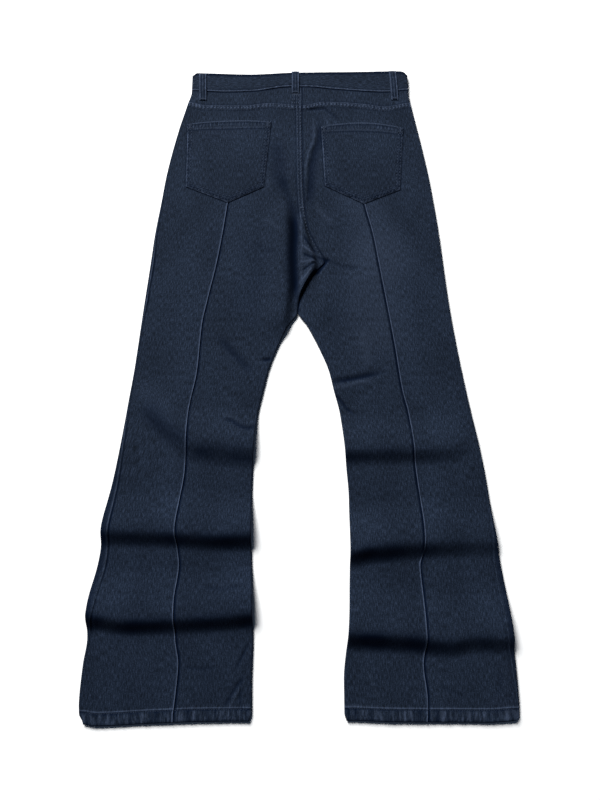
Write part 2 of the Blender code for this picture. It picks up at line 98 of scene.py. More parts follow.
# Waistband, raised by the thickness of the hidden front loops
BAND_WALL = 2.0
BAND_HEIGHT = 6.0
BAND_RADIUS = 3.0
BAND_END_GAP = 0.6
WAIST_LIFT = 1.6
WAIST_LIFT_FROM = 452.0
WAIST_LIFT_FULL = 491.0

# Patches, loops and the button
PATCH_WALL = 1.3
PATCH_CLEAR = 0.5
POCKET_HEM = 12.0
POCKET_HEM_STEP = 0.5
POCKET_GRAIN_SHIFT = 400.0
LOOP_WIDTH = 13.5
LOOP_WALL = 1.3
LOOP_BOW = 0.9
LOOP_RAMP = 10.0
FRONT_LOOP_X = 118.0
FRONT_LOOP_FOOT_Y = 497.0
FRONT_LOOP_HEAD_Y = 550.0
BUTTON_X = 14.0
BUTTON_Y = 534.0


class Section(NamedTuple):
    """A cross-section of one half: its outer edge, back leg seam and the front's wrap round the edge."""

    y: float
    outer: float
    leg_seam: float
    wrap: float


class Fold(NamedTuple):
    """A fold that lifts both layers right across a leg, with its shaded line and its reaches."""

    line: Points
    heights: Points
    north: float
    south: float
    bend: float


class Rise(NamedTuple):
    """A soft rise along the seat seam, its line given as (y, x)."""

    line: Points
    left: float
    right: float
    height: float
    low: float
    high: float


class Crease(NamedTuple):
    """A small crease in the back alone: a ridge, or a trough where its height is below nought.

    left and right are its reaches to either side of the path, looking along it. wear
    is how far its middle is painted paler, as rubbing and painted highlight, or darker as painted shade
    where it is below nought. fade is the share of its length over which either end dies away.
    """

    path: Points
    height: float
    left: float
    right: float
    wear: float = 0.0
    fade: float = 0.26


class Patch(NamedTuple):
    """A back pocket's corners, and how far its mouth bows up in the middle."""

    mouth_left: tuple[float, float]
    mouth_right: tuple[float, float]
    foot_left: tuple[float, float]
    foot_tip: tuple[float, float]
    foot_right: tuple[float, float]
    mouth_rise: float


class Strip(NamedTuple):
    """A narrow strip along a seam or an edge: how far from it, its reach to each side, its strength."""

    at: float
    reach: float
    strength: float


class Cloud(NamedTuple):
    """Soft, repeatable unevenness: its strength, its patches' size in millimetres and its seed."""

    strength: float
    across: float
    along: float
    seed: float

    def at(self, x: float, y: float) -> float:
        """Its value at a place, between minus its strength and its strength."""
        return self.strength * noise.noise(Vector((x / self.across, y / self.along, self.seed)))


class Side(Enum):
    """Which half of the garment, as the wearer has it, with the way that its outer edge lies."""

    LEFT = -1
    RIGHT = 1


class Layer(Enum):
    """Which of the two layers of a leg a panel belongs to."""

    BACK = "back"
    FRONT = "front"


LEFT_SECTIONS = (
    Section(WAIST_Y, -198, -104, 3.0), Section(YOKE_Y, -205, -107, 3.0), Section(440, -218, -110, 3.0),
    Section(344, -237, -118, 3.0), Section(289, -244, -126, 4.0), Section(228, -252, -134, 5.5),
    Section(171, -257, -143, 7.5), Section(107, -263, -156, 7.0), Section(62, -267, -164, 5.0),
    Section(-16, -274, -169, 3.5), Section(-92, -283, -181, 5.0), Section(-182, -295, -183, 10.0),
    Section(-230, -303, -189, 13.0), Section(-276, -309, -193, 14.0), Section(-307, -310, -189, 14.0),
    Section(-330, -313, -186, 15.0), Section(-381, -321, -190, 14.0), Section(-415, -323, -189, 10.0),
    Section(-439, -321, -187, 6.0), Section(-475, -325, -181, 4.0), Section(-523, -327, -184, 3.5),
    Section(-546, -325, -186, 3.5), Section(HEM_Y, -319, -186, 3.5),
)
RIGHT_SECTIONS = (
    Section(WAIST_Y, 201, 91, 3.0), Section(YOKE_Y, 205, 93, 3.0), Section(440, 214.5, 98, 3.0),
    Section(344, 231, 107, 3.0), Section(289, 238, 115, 3.0), Section(228, 244.5, 129, 3.0),
    Section(171, 249, 138, 3.0), Section(107, 254.5, 148, 3.0), Section(27, 264, 160, 3.0),
    Section(-50, 275.5, 170, 3.0), Section(-92, 282.5, 179, 3.5), Section(-182, 297.5, 187, 5.0),
    Section(-276, 307, 195, 8.0), Section(-307, 311, 194, 11.0), Section(-330, 313.5, 188, 13.0),
    Section(-381, 320, 191, 14.0), Section(-439, 324, 192, 12.0), Section(-475, 326, 187, 9.0),
    Section(-523, 327, 191, 6.0), Section(-546, 326, 190, 5.0), Section(HEM_Y, 320, 189, 5.0),
)

# Seat seam down to the crotch point, then the line along which the two legs touch, as (y, x)
MIDDLE_LINE = (
    (WAIST_Y, 4), (YOKE_Y, 4), (395, 5), (334, 6), (280, 9), (241, 15), (222, 22), (203, 31), (186, 41),
    (CROTCH_Y, 45), (166, 36), (149, 22), (131, 12), (111, 3), (96, -1), (LEGS_APART_Y, -2),
)
LEFT_INNER = (
    (LEGS_APART_Y, -2), (62, -17), (27, -34.5), (-16, -50.5), (-50, -58.5), (-92, -67.5), (-134, -72),
    (-230, -75), (-307, -74), (-381, -71), (-439, -69.5), (-496, -70.5), (-542, -70), (HEM_Y, -73),
)
RIGHT_INNER = (
    (LEGS_APART_Y, -2), (62, 13), (27, 31), (-16, 49), (-50, 57), (-92, 67), (-182, 76), (-230, 79),
    (-307, 79), (-381, 77), (-439, 73), (-496, 67), (-542, 67), (HEM_Y, 70),
)

# Seams and edges that run across the garment, as (x, y)
WAIST_TOP = (
    (-196, 549), (-190, 554), (-156, 553), (-91, 551), (-12, 555), (94, 556.5), (186, 558), (194, 556),
    (200, 550),
)
WAIST_SEAM = (
    (-198, 517), (-137, 514), (-91, 515), (-17, 525), (11, 525), (75, 519), (158, 514), (199, 518),
)
YOKE_SEAM = (
    (-205, 493), (-173, 486), (-99, 485), (-54, 490), (5, 486), (47, 493), (121, 488), (157, 483),
    (205, 491),
)
LEFT_HEM = (
    (-320, -557), (-300, -559.5), (-219, -556), (-146, -553.5), (-72, -553),
)
RIGHT_HEM = (
    (70, -552), (149, -554), (281, -554.5), (320, -552.5),
)

LEFT_FOLDS = (
    Fold(
        ((-270, -84), (-226, -114), (-184, -148), (-135, -158), (-76, -163)),
        ((-275, 1), (-235, 6), (-180, 9), (-76, 10)),
        north=60, south=40, bend=110,
    ),
    Fold(
        ((-300, -289), (-191, -292), (-131, -296), (-78, -295)),
        ((-310, 11), (-190, 13), (-78, 15)),
        north=70, south=29, bend=50,
    ),
    Fold(
        ((-321, -414), (-257, -421), (-188, -419), (-113, -415), (-73, -411)),
        ((-321, 14), (-190, 13), (-73, 14)),
        north=75, south=28, bend=50,
    ),
)
RIGHT_FOLDS = (
    Fold(
        ((75, -163), (154, -161), (235, -160), (290, -147)),
        ((75, 10), (190, 9), (250, 5), (285, 1)),
        north=60, south=30, bend=60,
    ),
    Fold(
        ((80, -320), (114, -314), (196, -308), (266, -305), (309, -304)),
        ((80, 15), (190, 12), (309, 7)),
        north=70, south=31, bend=60,
    ),
    Fold(
        ((74, -441), (160, -444), (228, -451), (266, -445), (323, -446)),
        ((74, 15), (170, 14), (230, 11), (323, 11)),
        north=75, south=31, bend=50,
    ),
)
LEFT_RISES = (
    Rise(((60, -28), (140, -22), (230, -23), (300, -28)), 44, 18, 9.5, 30, 305),
    Rise(((90, 1), (130, 7), (170, 24), (215, 13), (260, 5)), 14, 10, 7.5, 88, 275),
)
RIGHT_RISES = (Rise(((60, 40), (140, 50), (250, 48), (300, 44)), 20, 50, 3.0, 50, 290),)

# Small creases of the back, from the waist down, with painted shade along their troughs and paler lines
# along their ridges
LEFT_CREASES = (
    Crease(((-42, 425), (-38, 385), (-35, 345), (-30, 300)), -0.8, 22, 22, -0.4),
    Crease(((-30, 350), (-22, 315), (-14, 290), (-10, 262)), -1.2, 10, 16, -0.4),
    Crease(
        ((-6, 300), (-7, 262), (-6, 228), (-8, 190), (-6, 150), (-5, 115), (-3, 84)), -2.0, 8, 20, -1.3, 0.3
    ),
    Crease(((1, 290), (3, 245), (5, 199), (4, 150), (3, 110)), 0.8, 3, 3, 0.3),
    Crease(((-70, 400), (-62, 350), (-48, 300)), 0.9, 14, 14, 0.1),
    Crease(((-62, 262), (-40, 240), (-24, 225)), 0.8, 8, 8, 0.1),
    Crease(((-80, 215), (-58, 200), (-36, 192)), -0.6, 7, 7, -0.15),
    Crease(((5, 228), (16, 210), (33, 190)), -1.5, 3.5, 4, -0.9),
    Crease(((3, 210), (16, 196), (36, 182)), 1.4, 3, 3, 0.5),
    Crease(((4, 196), (18, 185), (36, 177)), -1.5, 3, 3, -1.0),
    Crease(((3, 178), (16, 177), (32, 175)), 1.3, 3, 3, 0.45),
    Crease(((4, 160), (14, 168), (30, 174)), -1.4, 3, 3, -0.9),
    Crease(((5, 140), (13, 153), (23, 165)), 1.2, 3, 3, 0.4),
    Crease(((24, 190), (34, 185), (44, 181)), -1.2, 3, 3.5, -0.8, 0.4),
    Crease(((-66, 262), (-78, 150), (-92, 40)), -0.3, 52, 52, -0.12),
    Crease(((-141, 45), (-124, 27), (-102, 4), (-84, -16), (-74, -28)), -1.8, 13, 9, -0.5),
    Crease(((-40, 4), (-54, 1), (-66, 1)), -1.8, 5, 6, -0.9, 0.4),
    Crease(((-262, -66), (-236, -98), (-205, -126), (-172, -146)), -0.5, 28, 24, -0.36),
    Crease(((-172, -152), (-150, -156), (-128, -160)), -0.2, 14, 14, -0.2),
    Crease(((-112, -162), (-92, -164), (-68, -165)), -0.3, 11, 11, -0.2),
    Crease(((-128, -96), (-109, -103), (-96, -112), (-82, -116), (-62, -108)), -1.8, 6, 4.5, -0.8),
    Crease(((-126, -92), (-108, -97), (-94, -105)), 0.8, 5, 4, 0.2),
    Crease(((-150, -362), (-118, -366), (-84, -360)), -0.6, 6, 5, -0.2),
    Crease(((-176, -478), (-150, -481), (-120, -479)), -0.8, 5, 4, -0.25),
    Crease(((-114, -540), (-100, -515), (-80, -486)), -1.0, 3.5, 4, -0.5),
    Crease(((-106, -540), (-93, -516), (-78, -494)), 0.8, 3, 3.5, 0.3),
    Crease(((-98, -486), (-86, -464), (-74, -440)), -0.9, 4, 4, -0.4),
    Crease(((-84, -545), (-88, -520), (-84, -490)), -0.8, 3, 4, -0.4),
)
RIGHT_CREASES = (
    Crease(((33, 470), (36, 446), (35, 415), (26, 391), (20, 364), (18, 325), (14, 268)), -1.6, 19, 5, -0.7),
    Crease(((25, 470), (28, 440), (27, 415), (17, 388), (13, 360), (12, 330)), 1.0, 3, 4, 0.25),
    Crease(((7, 476), (29, 477), (47, 479), (65, 464), (76, 450)), -1.5, 5, 4, -0.5),
    Crease(((40, 468), (54, 450), (60, 425)), 0.9, 5, 7, 0.1),
    Crease(((22, 300), (40, 268), (66, 240)), 0.7, 9, 9, 0.1),
    Crease(((46, 178), (76, 168), (112, 164)), -0.9, 6, 8, -0.25),
    Crease(((44, 182), (49, 179), (57, 179)), -0.9, 4, 4, -0.9, 0.4),
    Crease(((50, 185), (47, 176), (38, 164), (27, 150)), -2.4, 4.5, 4.5, -1.3, 0.25),
    Crease(((40, -42), (60, -37), (84, -33), (112, -27), (152, -19)), -2.2, 10, 4.5, -0.9, 0.35),
    Crease(((40, -50), (76, -43), (101, -36), (126, -33)), 0.8, 4, 8, 0.2),
    Crease(((56, -54), (69, -69), (78, -82), (93, -94)), -1.8, 4, 4, -0.8),
    Crease(((104, 60), (112, 20), (118, -20)), 0.6, 16, 16, 0.1),
    Crease(((112, 260), (126, 120), (142, -20)), 0.3, 80, 80, 0.15),
    Crease(((70, 400), (130, 250), (190, 120)), 0, 60, 60, 0.12),
    Crease(((60, -163), (92, -163), (126, -162)), -0.3, 13, 11, -0.25),
    Crease(((60, -322), (94, -318), (130, -313)), -0.3, 10, 10, -0.15),
    Crease(((100, -478), (112, -505), (122, -530)), 0.6, 5, 6, 0.15),
    Crease(((206, -500), (226, -512), (250, -520)), -0.6, 5, 5, -0.2),
    Crease(((292, -520), (300, -505), (304, -480)), -0.6, 4, 4, -0.25),
)

LEFT_POCKET = Patch((-203, 447), (-51, 452), (-201, 321), (-126, 290), (-63, 321), 4)
RIGHT_POCKET = Patch((40, 442), (189, 439), (46, 323), (114, 288), (179, 315), 9)

# Back loops, each with its head and its foot
BACK_LOOPS = (
    ("belt_loop_back_left", (-178.5, 552), (-176.5, 496)),
    ("belt_loop_back_centre", (-7, 556), (-7, 511)),
    ("belt_loop_back_right", (172.5, 557), (175.5, 497)),
)

# The panel is pressed in round a pocket, as a crease with this height, reach, wear and fade; its wear below
# nought is the pocket's shadow painted on the panel round it
POCKET_RIM = (-0.5, 2.8, 2.8, -0.8, 0.0)

# Relief along the outseam, from its line inwards, and up from the hem
OUTSEAM_RELIEF = (Strip(-2.0, 2.2, 0.5), Strip(1.6, 2.6, -0.5))
HEM_RELIEF = (Strip(HEM_ROW, 1.3, -0.5),)

# Wear along seams and edges, each measured away from its own. Strips above nought are rubbed paler,
# partly painted highlight on raised edges; strips below nought are painted shade in the grooves and dips
# beside them
OUTSEAM_WEAR_AND_SHADE = (Strip(-1.6, 1.8, 0.8), Strip(1.0, 2.4, -1.1))
SEAT_WEAR_AND_SHADE = (
    Strip(SEAT_FELL, 1.6, 0.15), Strip(0.9, 1.6, 0.1), Strip(5.9, 1.6, -0.5), Strip(10.9, 1.8, -0.7),
)
YOKE_WEAR_AND_SHADE = (
    Strip(1.0, 1.8, 0.5), Strip(YOKE_FELL, 2.0, 0.25), Strip(-1.2, 1.8, -0.6), Strip(10.4, 1.8, -0.4),
)
HEM_WEAR_AND_SHADE = (Strip(19.4, 1.7, 0.6), Strip(16.6, 1.9, -0.9))
BAND_WEAR_AND_SHADE = (Strip(1.3, 1.9, 0.8), Strip(3.8, 1.6, -0.5))
POCKET_EDGE_WEAR_AND_SHADE = (Strip(0, 2.3, 0.55), Strip(3.2, 1.9, -0.9), Strip(8.2, 1.7, -0.6))
POCKET_MOUTH_WEAR_AND_SHADE = (
    Strip(0.8, 1.9, 0.4), Strip(POCKET_HEM, 1.8, 0.3), Strip(3.4, 1.8, -0.6), Strip(14.2, 1.9, -0.7),
)
LOOP_WEAR_AND_SHADE = (Strip(1.5, 1.7, 0.75), Strip(4.0, 1.6, -0.8), Strip(6.7, 1.8, 0.2))

# Unevenness of the relief
CLOTH_WAVES = (Cloud(0.55, 62, 85, 3.1), Cloud(0.22, 21, 30, 7.7))
HEM_ROPES = (Cloud(0.5, 5.2, 40, 1.3), Cloud(0.3, 2.9, 30, 6.3))
HEM_PUCKER = Cloud(0.45, 6.5, 20, 2.9)
SEAT_GATHER = Cloud(0.18, 9, 4.5, 5.5)
YOKE_GATHER = Cloud(0.25, 4.2, 10, 8.4)
YOKE_PUCKER = Cloud(0.3, 6.0, 18, 9.2)
BAND_WAVES = (Cloud(0.22, 7.0, 16, 6.1), Cloud(0.2, 24, 30, 2.2))
EDGE_GATHER = Cloud(0.34, 5.0, 5.0, 3.6)
MOUTH_GATHER = Cloud(0.3, 4.6, 9, 1.9)
POCKET_BULGE = Cloud(0.6, 45, 60, 8.8)
LOOP_WAVES = Cloud(0.22, 6, 4, 5.1)

# Unevenness of the wear and of the painted shade
FOLD_SHADE_PATCHES = Cloud(0.6, 34, 30, 6.6)
SEAM_PATCHES = Cloud(0.5, 20, 14, 4.4)
OUTSEAM_PATCHES = Cloud(0.7, 30, 26, 2.7)
SEAT_BEADS = Cloud(0.6, 8, 9, 5.5)
YOKE_WANDER = Cloud(3.0, 34, 30, 2.2)
YOKE_BEADS = Cloud(0.8, 4.4, 9, 8.4)
HEM_WEAR_ROPES = (Cloud(0.7, 4.6, 40, 1.3), Cloud(0.8, 2.5, 26, 6.3))
BAND_PATCHES = Cloud(0.5, 5.0, 12, 6.1)
EDGE_PATCHES = Cloud(0.7, 4.4, 4.4, 3.6)
MOUTH_WANDER = Cloud(3.0, 30, 30, 7.1)
MOUTH_BEADS = Cloud(1.0, 4.4, 6, 1.9)
LOOP_PATCHES = Cloud(0.4, 4, 4, 5.1)


class Curve:
    """A smooth line through (place, height) points, level past both ends and at its peaks."""

    def __init__(self, points: Iterable[tuple[float, float]]) -> None:
        """Keep the points in order of place and work out the slope at each."""
        rows = sorted(points)
        self.places = [row[0] for row in rows]
        self.heights = [row[1] for row in rows]
        self.slopes = [self.slope(at) for at in range(len(rows))]

    def slope(self, at: int) -> float:
        """The curve's slope at a point: level at the ends and at peaks, else the gentler mean.

        Args:
            at: the point's number.

        Returns:
            The slope, in height over place.
        """
        if at in (0, len(self.places) - 1):
            return 0.0
        before = (self.heights[at] - self.heights[at - 1]) / (self.places[at] - self.places[at - 1])
        after = (self.heights[at + 1] - self.heights[at]) / (self.places[at + 1] - self.places[at])
        return 2 * before * after / (before + after) if before * after > 0 else 0.0

    def __call__(self, value: float) -> float:
        """Read the curve.

        Args:
            value: a place along it.

        Returns:
            The height there.
        """
        if value <= self.places[0]:
            return self.heights[0]
        if value >= self.places[-1]:
            return self.heights[-1]
        right = bisect_left(self.places, value)
        left = right - 1
        width = self.places[right] - self.places[left]
        share = (value - self.places[left]) / width
        cube, square = share**3, share**2
        return (
            (2 * cube - 3 * square + 1) * self.heights[left]
            + (cube - 2 * square + share) * self.slopes[left] * width
            + (3 * square - 2 * cube) * self.heights[right]
            + (cube - square) * self.slopes[right] * width
        )


def smooth_step(value: float) -> float:
    """Rise smoothly from 0 to 1 while value does."""
    value = min(max(value, 0.0), 1.0)
    return value * value * (3 - 2 * value)


def bell(value: float) -> float:
    """A smooth bump that is 1 at 0 and 0 from 1 outwards on both sides."""
    return math.cos(QUARTER * value) ** 2 if abs(value) < 1 else 0.0


def plateau(value: float, low: float, high: float, ramp: float) -> float:
    """1 between low and high, falling smoothly to 0 over a ramp outside them."""
    return smooth_step((value - low) / ramp + 1) * smooth_step((high - value) / ramp + 1)


def near(distance: float, reach: float) -> float:
    """1 up to an edge, falling smoothly to 0 this far past it."""
    return 1 - smooth_step(distance / reach)


def clamp(share: float) -> float:
    """Keep a share of rubbing and painted light between -1 and 1."""
    return min(max(share, -1.0), 1.0)


def strips(rows: Sequence[Strip], off: float) -> float:
    """What these strips add up to at this distance."""
    return sum(row.strength * bell((off - row.at) / row.reach) for row in rows)


def clouds(rows: Sequence[Cloud], x: float, y: float) -> float:
    """What these clouds add up to at a place."""
    return sum(row.at(x, y) for row in rows)


def steps(low: float, high: float, count: int) -> list[float]:
    """Both ends and the places between them in this many even steps."""
    return [low + (high - low) * at / count for at in range(count + 1)]


def spread(low: float, high: float, count: int) -> list[float]:
    """This many even places from low to high, without either end."""
    return steps(low, high, count + 1)[1:-1]


waist_top = Curve(WAIST_TOP)
waist_seam = Curve(WAIST_SEAM)
yoke_seam = Curve(YOKE_SEAM)
middle_line = Curve(MIDDLE_LINE)


def waist_lift(y: float) -> float:
    """The hidden front loops raise the top of the garment by their thickness."""
    return WAIST_LIFT * smooth_step((y - WAIST_LIFT_FROM) / (WAIST_LIFT_FULL - WAIST_LIFT_FROM))


class Trough:
    """A crease made ready to be read quickly at a point."""

    def __init__(self, crease: Crease) -> None:
        """Keep the crease's legs, their lengths and the box that it reaches."""
        self.crease = crease
        self.legs = []
        self.length = 0.0
        for start, end in zip(crease.path, crease.path[1:]):
            across, up = end[0] - start[0], end[1] - start[1]
            length = math.hypot(across, up)
            self.legs.append((*start, across / length, up / length, length, self.length))
            self.length += length
        reach = max(crease.left, crease.right)
        wide, high = zip(*crease.path)
        self.box = (min(wide) - reach, max(wide) + reach, min(high) - reach, max(high) + reach)

    def share(self, x: float, y: float) -> float:
        """How much of the crease reaches a point.

        Args:
            x: the point's place across the garment.
            y: its place along it.

        Returns:
            The share, from 0 outside it to 1 on its middle line.
        """
        low_x, high_x, low_y, high_y = self.box
        if not (low_x < x < high_x and low_y < y < high_y):
            return 0.0
        distance, ahead, turn = math.inf, 0.0, 0.0
        for start_x, start_y, across, up, length, run in self.legs:
            along = min(max((x - start_x) * across + (y - start_y) * up, 0.0), length)
            off_x = x - start_x - across * along
            off_y = y - start_y - up * along
            if math.hypot(off_x, off_y) < distance:
                distance = math.hypot(off_x, off_y)
                ahead, turn = run + along, across * off_y - up * off_x
        fade = self.crease.fade * self.length
        fading = smooth_step(min(ahead, self.length - ahead) / fade) if fade else 1.0
        return fading * bell(distance / (self.crease.left if turn > 0 else self.crease.right))


class Spot(NamedTuple):
    """A place in a cross-section: x, its share of the height, and which way its face looks."""

    x: float
    share: float
    out: float
    up: float


@dataclass
class HalfForm:
    """The form of one half of the jeans: its outline, folds and small relief.

    The leg seam's raised edge lies on the outer panel where seam_lean is 1 and on the inner one where
    it is 0. edge_shows is how much of the outseam's rubbed line and painted groove shade shows below
    the calf and above it, and hem_painted_shade is how much painted shade darkens the back towards the hem.
    """

    side: Side
    sections: tuple[Section, ...]
    inner_rows: Points
    hem_rows: Points
    folds: tuple[Fold, ...]
    rises: tuple[Rise, ...]
    creases: tuple[Crease, ...]
    pocket: Patch
    seam_lean: Points
    edge_shows: tuple[float, float]
    hem_painted_shade: float
    ridge: float = 0.9
    groove: float = -0.9

    def __post_init__(self) -> None:
        """Make every table a smooth curve."""
        self.sign = self.side.value
        self.name = self.side.name.lower()
        self.outer = Curve((row.y, row.outer) for row in self.sections)
        self.leg_seam = Curve((row.y, row.leg_seam) for row in self.sections)
        self.wrap = Curve((row.y, row.wrap) for row in self.sections)
        self.inner_line = Curve(self.inner_rows)
        self.hem = Curve(self.hem_rows)
        self.lean = Curve(self.seam_lean)
        self.fold_curves = [
            (fold, Curve(fold.line), Curve(fold.heights), sum(p[1] for p in fold.line) / len(fold.line))
            for fold in self.folds
        ]
        self.rise_curves = [(rise, Curve(rise.line)) for rise in self.rises]
        patch = self.pocket
        rim = (patch.mouth_left, patch.foot_left, patch.foot_tip, patch.foot_right, patch.mouth_right)
        self.troughs = [Trough(crease) for crease in (*self.creases, Crease(rim, *POCKET_RIM))]

    def inner(self, y: float) -> float:
        """The edge next to the other half, with the seam's gap where the halves meet."""
        line = middle_line if y >= LEGS_APART_Y else self.inner_line
        return line(y) + self.sign * SEAM_GAP / 2

    def on_row(self, read: Callable[[float], float], station: float) -> float:
        """Read a table where a bent row really lies.

        Args:
            read: the table, by true length y.
            station: the row.

        Returns:
            The x that the table gives there.
        """
        x = read(station)
        for _ in range(3):
            x = read(self.place(station, x))
        return x

    def place(self, station: float, x: float) -> float:
        """The length y at x on a row that bends with the seams, folds and hem near it.

        Args:
            station: the row, by its length before it bends.
            x: the place across it.

        Returns:
            The true length y.
        """
        if station > YOKE_Y:
            share = (station - YOKE_Y) / (WAIST_Y - YOKE_Y)
            return (1 - share) * yoke_seam(x) + share * waist_seam(x)
        y = station
        if station > TOP_BEND_START:
            near_top = smooth_step((station - TOP_BEND_START) / (YOKE_Y - TOP_BEND_START))
            y += near_top * (yoke_seam(x) - YOKE_Y)
        if station < HEM_BEND_START:
            near_hem = smooth_step((station - HEM_BEND_START) / (HEM_Y - HEM_BEND_START))
            y += near_hem * (self.hem(x) - HEM_Y)
        for fold, line, _, middle in self.fold_curves:
            if abs(station - middle) < fold.bend:
                y += bell((station - middle) / fold.bend) * (line(x) - middle)
        return y

    def lift(self, x: float, y: float) -> float:
        """How far folds raise both layers of cloth off the surface.

        Args:
            x: place across the garment.
            y: place along it.

        Returns:
            The height in millimetres.
        """
        height = waist_lift(y)
        for fold, line, heights, middle in self.fold_curves:
            if abs(y - middle) > fold.north + fold.bend:
                continue
            past = y - line(x) - fold.south / 2
            height += heights(x) * bell(past / (fold.north if past > 0 else fold.south))
        for rise, line in self.rise_curves:
            past = x - line(y)
            reach = rise.right if past > 0 else rise.left
            if abs(past) < reach:
                middle, half = (rise.low + rise.high) / 2, (rise.high - rise.low) / 2
                stretch = smooth_step(2.5 * (1 - abs(y - middle) / half))
                height += rise.height * stretch * bell(past / reach) * self.clear_of_middle(x, y)
        return height

    def clear_of_middle(self, x: float, y: float) -> float:
        """Fades the rises out at the line between the halves, so that both sides meet level."""
        return 1.0 if y < LEGS_APART_Y else smooth_step(abs(x - middle_line(y)) / MIDDLE_LEVEL)

    def relief(self, x: float, y: float) -> float:
        """The back's own small relief: seams, creases, hem and the cloth's unevenness.

        Args:
            x: place across the garment.
            y: place along it.

        Returns:
            The height over the plain form.
        """
        height = sum(trough.crease.height * trough.share(x, y) for trough in self.troughs)
        height += clouds(CLOTH_WAVES, x, y)
        height += self.seam_relief(x, y)
        above_hem = y - self.hem(x)
        if above_hem < HEM_DEPTH + 10:
            turned = smooth_step((HEM_DEPTH + 0.8 - above_hem) / 1.6)
            height += turned * (HEM_STEP + clouds(HEM_ROPES, x, y))
            height += HEM_PUCKER.at(x, y) * bell((above_hem - HEM_DEPTH - 1) / 9)
            height += strips(HEM_RELIEF, above_hem) - 0.9 * near(above_hem, HEM_ROUND)
        return height

    def raised(self, off: float, y: float) -> float:
        """How far the leg seam's ridge lies on this side of it, off towards the outer edge."""
        return self.lean(y) if off > 0 else 1 - self.lean(y)

    def seam_relief(self, x: float, y: float) -> float:
        """The raised leg seam, the felled seat seam and the felled yoke seam.

        Args:
            x: place across the garment.
            y: place along it.

        Returns:
            The height over the plain cloth.
        """
        height = 0.0
        off = (x - self.leg_seam(y)) * self.sign
        if abs(off) < 5 and y < yoke_seam(x):
            pressed = 1 - 0.75 * smooth_step((y - UNDER_POCKET_Y) / 20)
            raised = self.raised(off, y)
            high = self.ridge * pressed * near(abs(off) - 1.0, 2.2)
            low = self.groove * pressed * near(abs(off) - 0.4, 3.4)
            height += raised * high + (1 - raised) * low
        inside = self.past_outseam(x, y)
        if abs(inside) < 6 and y < SIDE_SEAM_TOP_Y:
            lifted = 0.35 + 0.65 * smooth_step((self.wrap(y) - 4) / 4)
            height += lifted * strips(OUTSEAM_RELIEF, inside)
        if y > 205:
            off = middle_line(y) - x
            wide = SEAT_FELL - 2.0 * smooth_step((300 - y) / 60)
            if -2.5 < off < wide + 3 and y < yoke_seam(x):
                fell = plateau(off, 0.7, wide, 1.2) * smooth_step((y - 240) / 40)
                height += (FELL_HEIGHT + SEAT_GATHER.at(x, y)) * fell - 0.5 * bell(off / 2.0)
        below = yoke_seam(x) - y
        if -2 < below < YOKE_FELL + 12:
            height += (YOKE_HEIGHT + YOKE_GATHER.at(x, y)) * plateau(below, 0.5, YOKE_FELL, 1.2)
            height += YOKE_PUCKER.at(x, y) * bell((below - YOKE_FELL) / 12)
        return height

    def past_outseam(self, x: float, y: float) -> float:
        """How far a point lies inside the outseam, along which the front wraps round the edge."""
        return (self.outer(y) - x) * self.sign - max(self.wrap(y) - (QUARTER - 1) * EDGE_RADIUS, 1.0)

    def back_face(self, x: float, y: float) -> float:
        """The height of the back's outer face on the flat of the leg."""
        return self.lift(x, y) + TWO_LAYERS + self.relief(x, y)

    def back_wear(self, x: float, y: float) -> float:
        """How far the back's raised lines are rubbed paler, and where shade is painted into its grooves,
        folds and gaps.

        Args:
            x: place across the garment.
            y: place along it.

        Returns:
            The share, from -1 where the painted shade is darkest to 1 where it is rubbed palest.
        """
        # Crease troughs are painted shade, their ridges rubbed paler
        wear = sum(trough.crease.wear * trough.share(x, y) for trough in self.troughs)
        # Painted shade on the south slope of each fold, darker for taller folds
        for fold, line, heights, _ in self.fold_curves:
            past = y - line(x) - 1
            if abs(past) < fold.south:
                depth = (heights(x) / 14) ** 2 * (0.64 + FOLD_SHADE_PATCHES.at(x, y))
                wear -= depth * bell(past / (0.72 * fold.south))
        wear += self.long_seam_wear(x, y) + self.fell_wear(x, y)
        # Painted shadow under the waistband's lower edge
        under_band = waist_seam(x) - y
        if under_band < 4:
            wear -= bell((under_band - 0.8) / 2.2)
        # Painted shadow in the gap where the two legs meet below the crotch
        crotch = CROTCH_Y + 14
        if LEGS_APART_Y < y < crotch:
            nearness = (x - middle_line(y)) / (2.6 + 0.02 * (y - LEGS_APART_Y))
            wear -= 1.6 * smooth_step((crotch - y) / 12) * bell(nearness)
        # Painted shade, darker towards the hem
        wear -= self.hem_painted_shade * smooth_step((-60 - y) / 300)
        above_hem = y - self.hem(x)
        if above_hem < HEM_DEPTH + 4:
            turned = smooth_step((HEM_DEPTH - above_hem) / 3)
            # The turned hem's roping is rubbed paler; its top edge is a rubbed pale line, with painted shade
            # in the stitch groove and along the bottom edge
            wear += turned * (0.1 + clouds(HEM_WEAR_ROPES, x, y))
            wear += strips(HEM_WEAR_AND_SHADE, above_hem) - near(above_hem - 0.6, HEM_ROUND)
        return clamp(wear)

    def long_seam_wear(self, x: float, y: float) -> float:
        """Rubbing along the leg seam and the outseam, with painted shade in their grooves and along the
        outer edge.

        Args:
            x: place across the garment.
            y: place along it.

        Returns:
            The share of rubbing and painted shade.
        """
        wear = 0.0
        off = (x - self.leg_seam(y)) * self.sign
        if abs(off) < 5 and y < SIDE_SEAM_TOP_Y:
            raised = self.raised(off, y)
            uneven = 1 + SEAM_PATCHES.at(x, y)
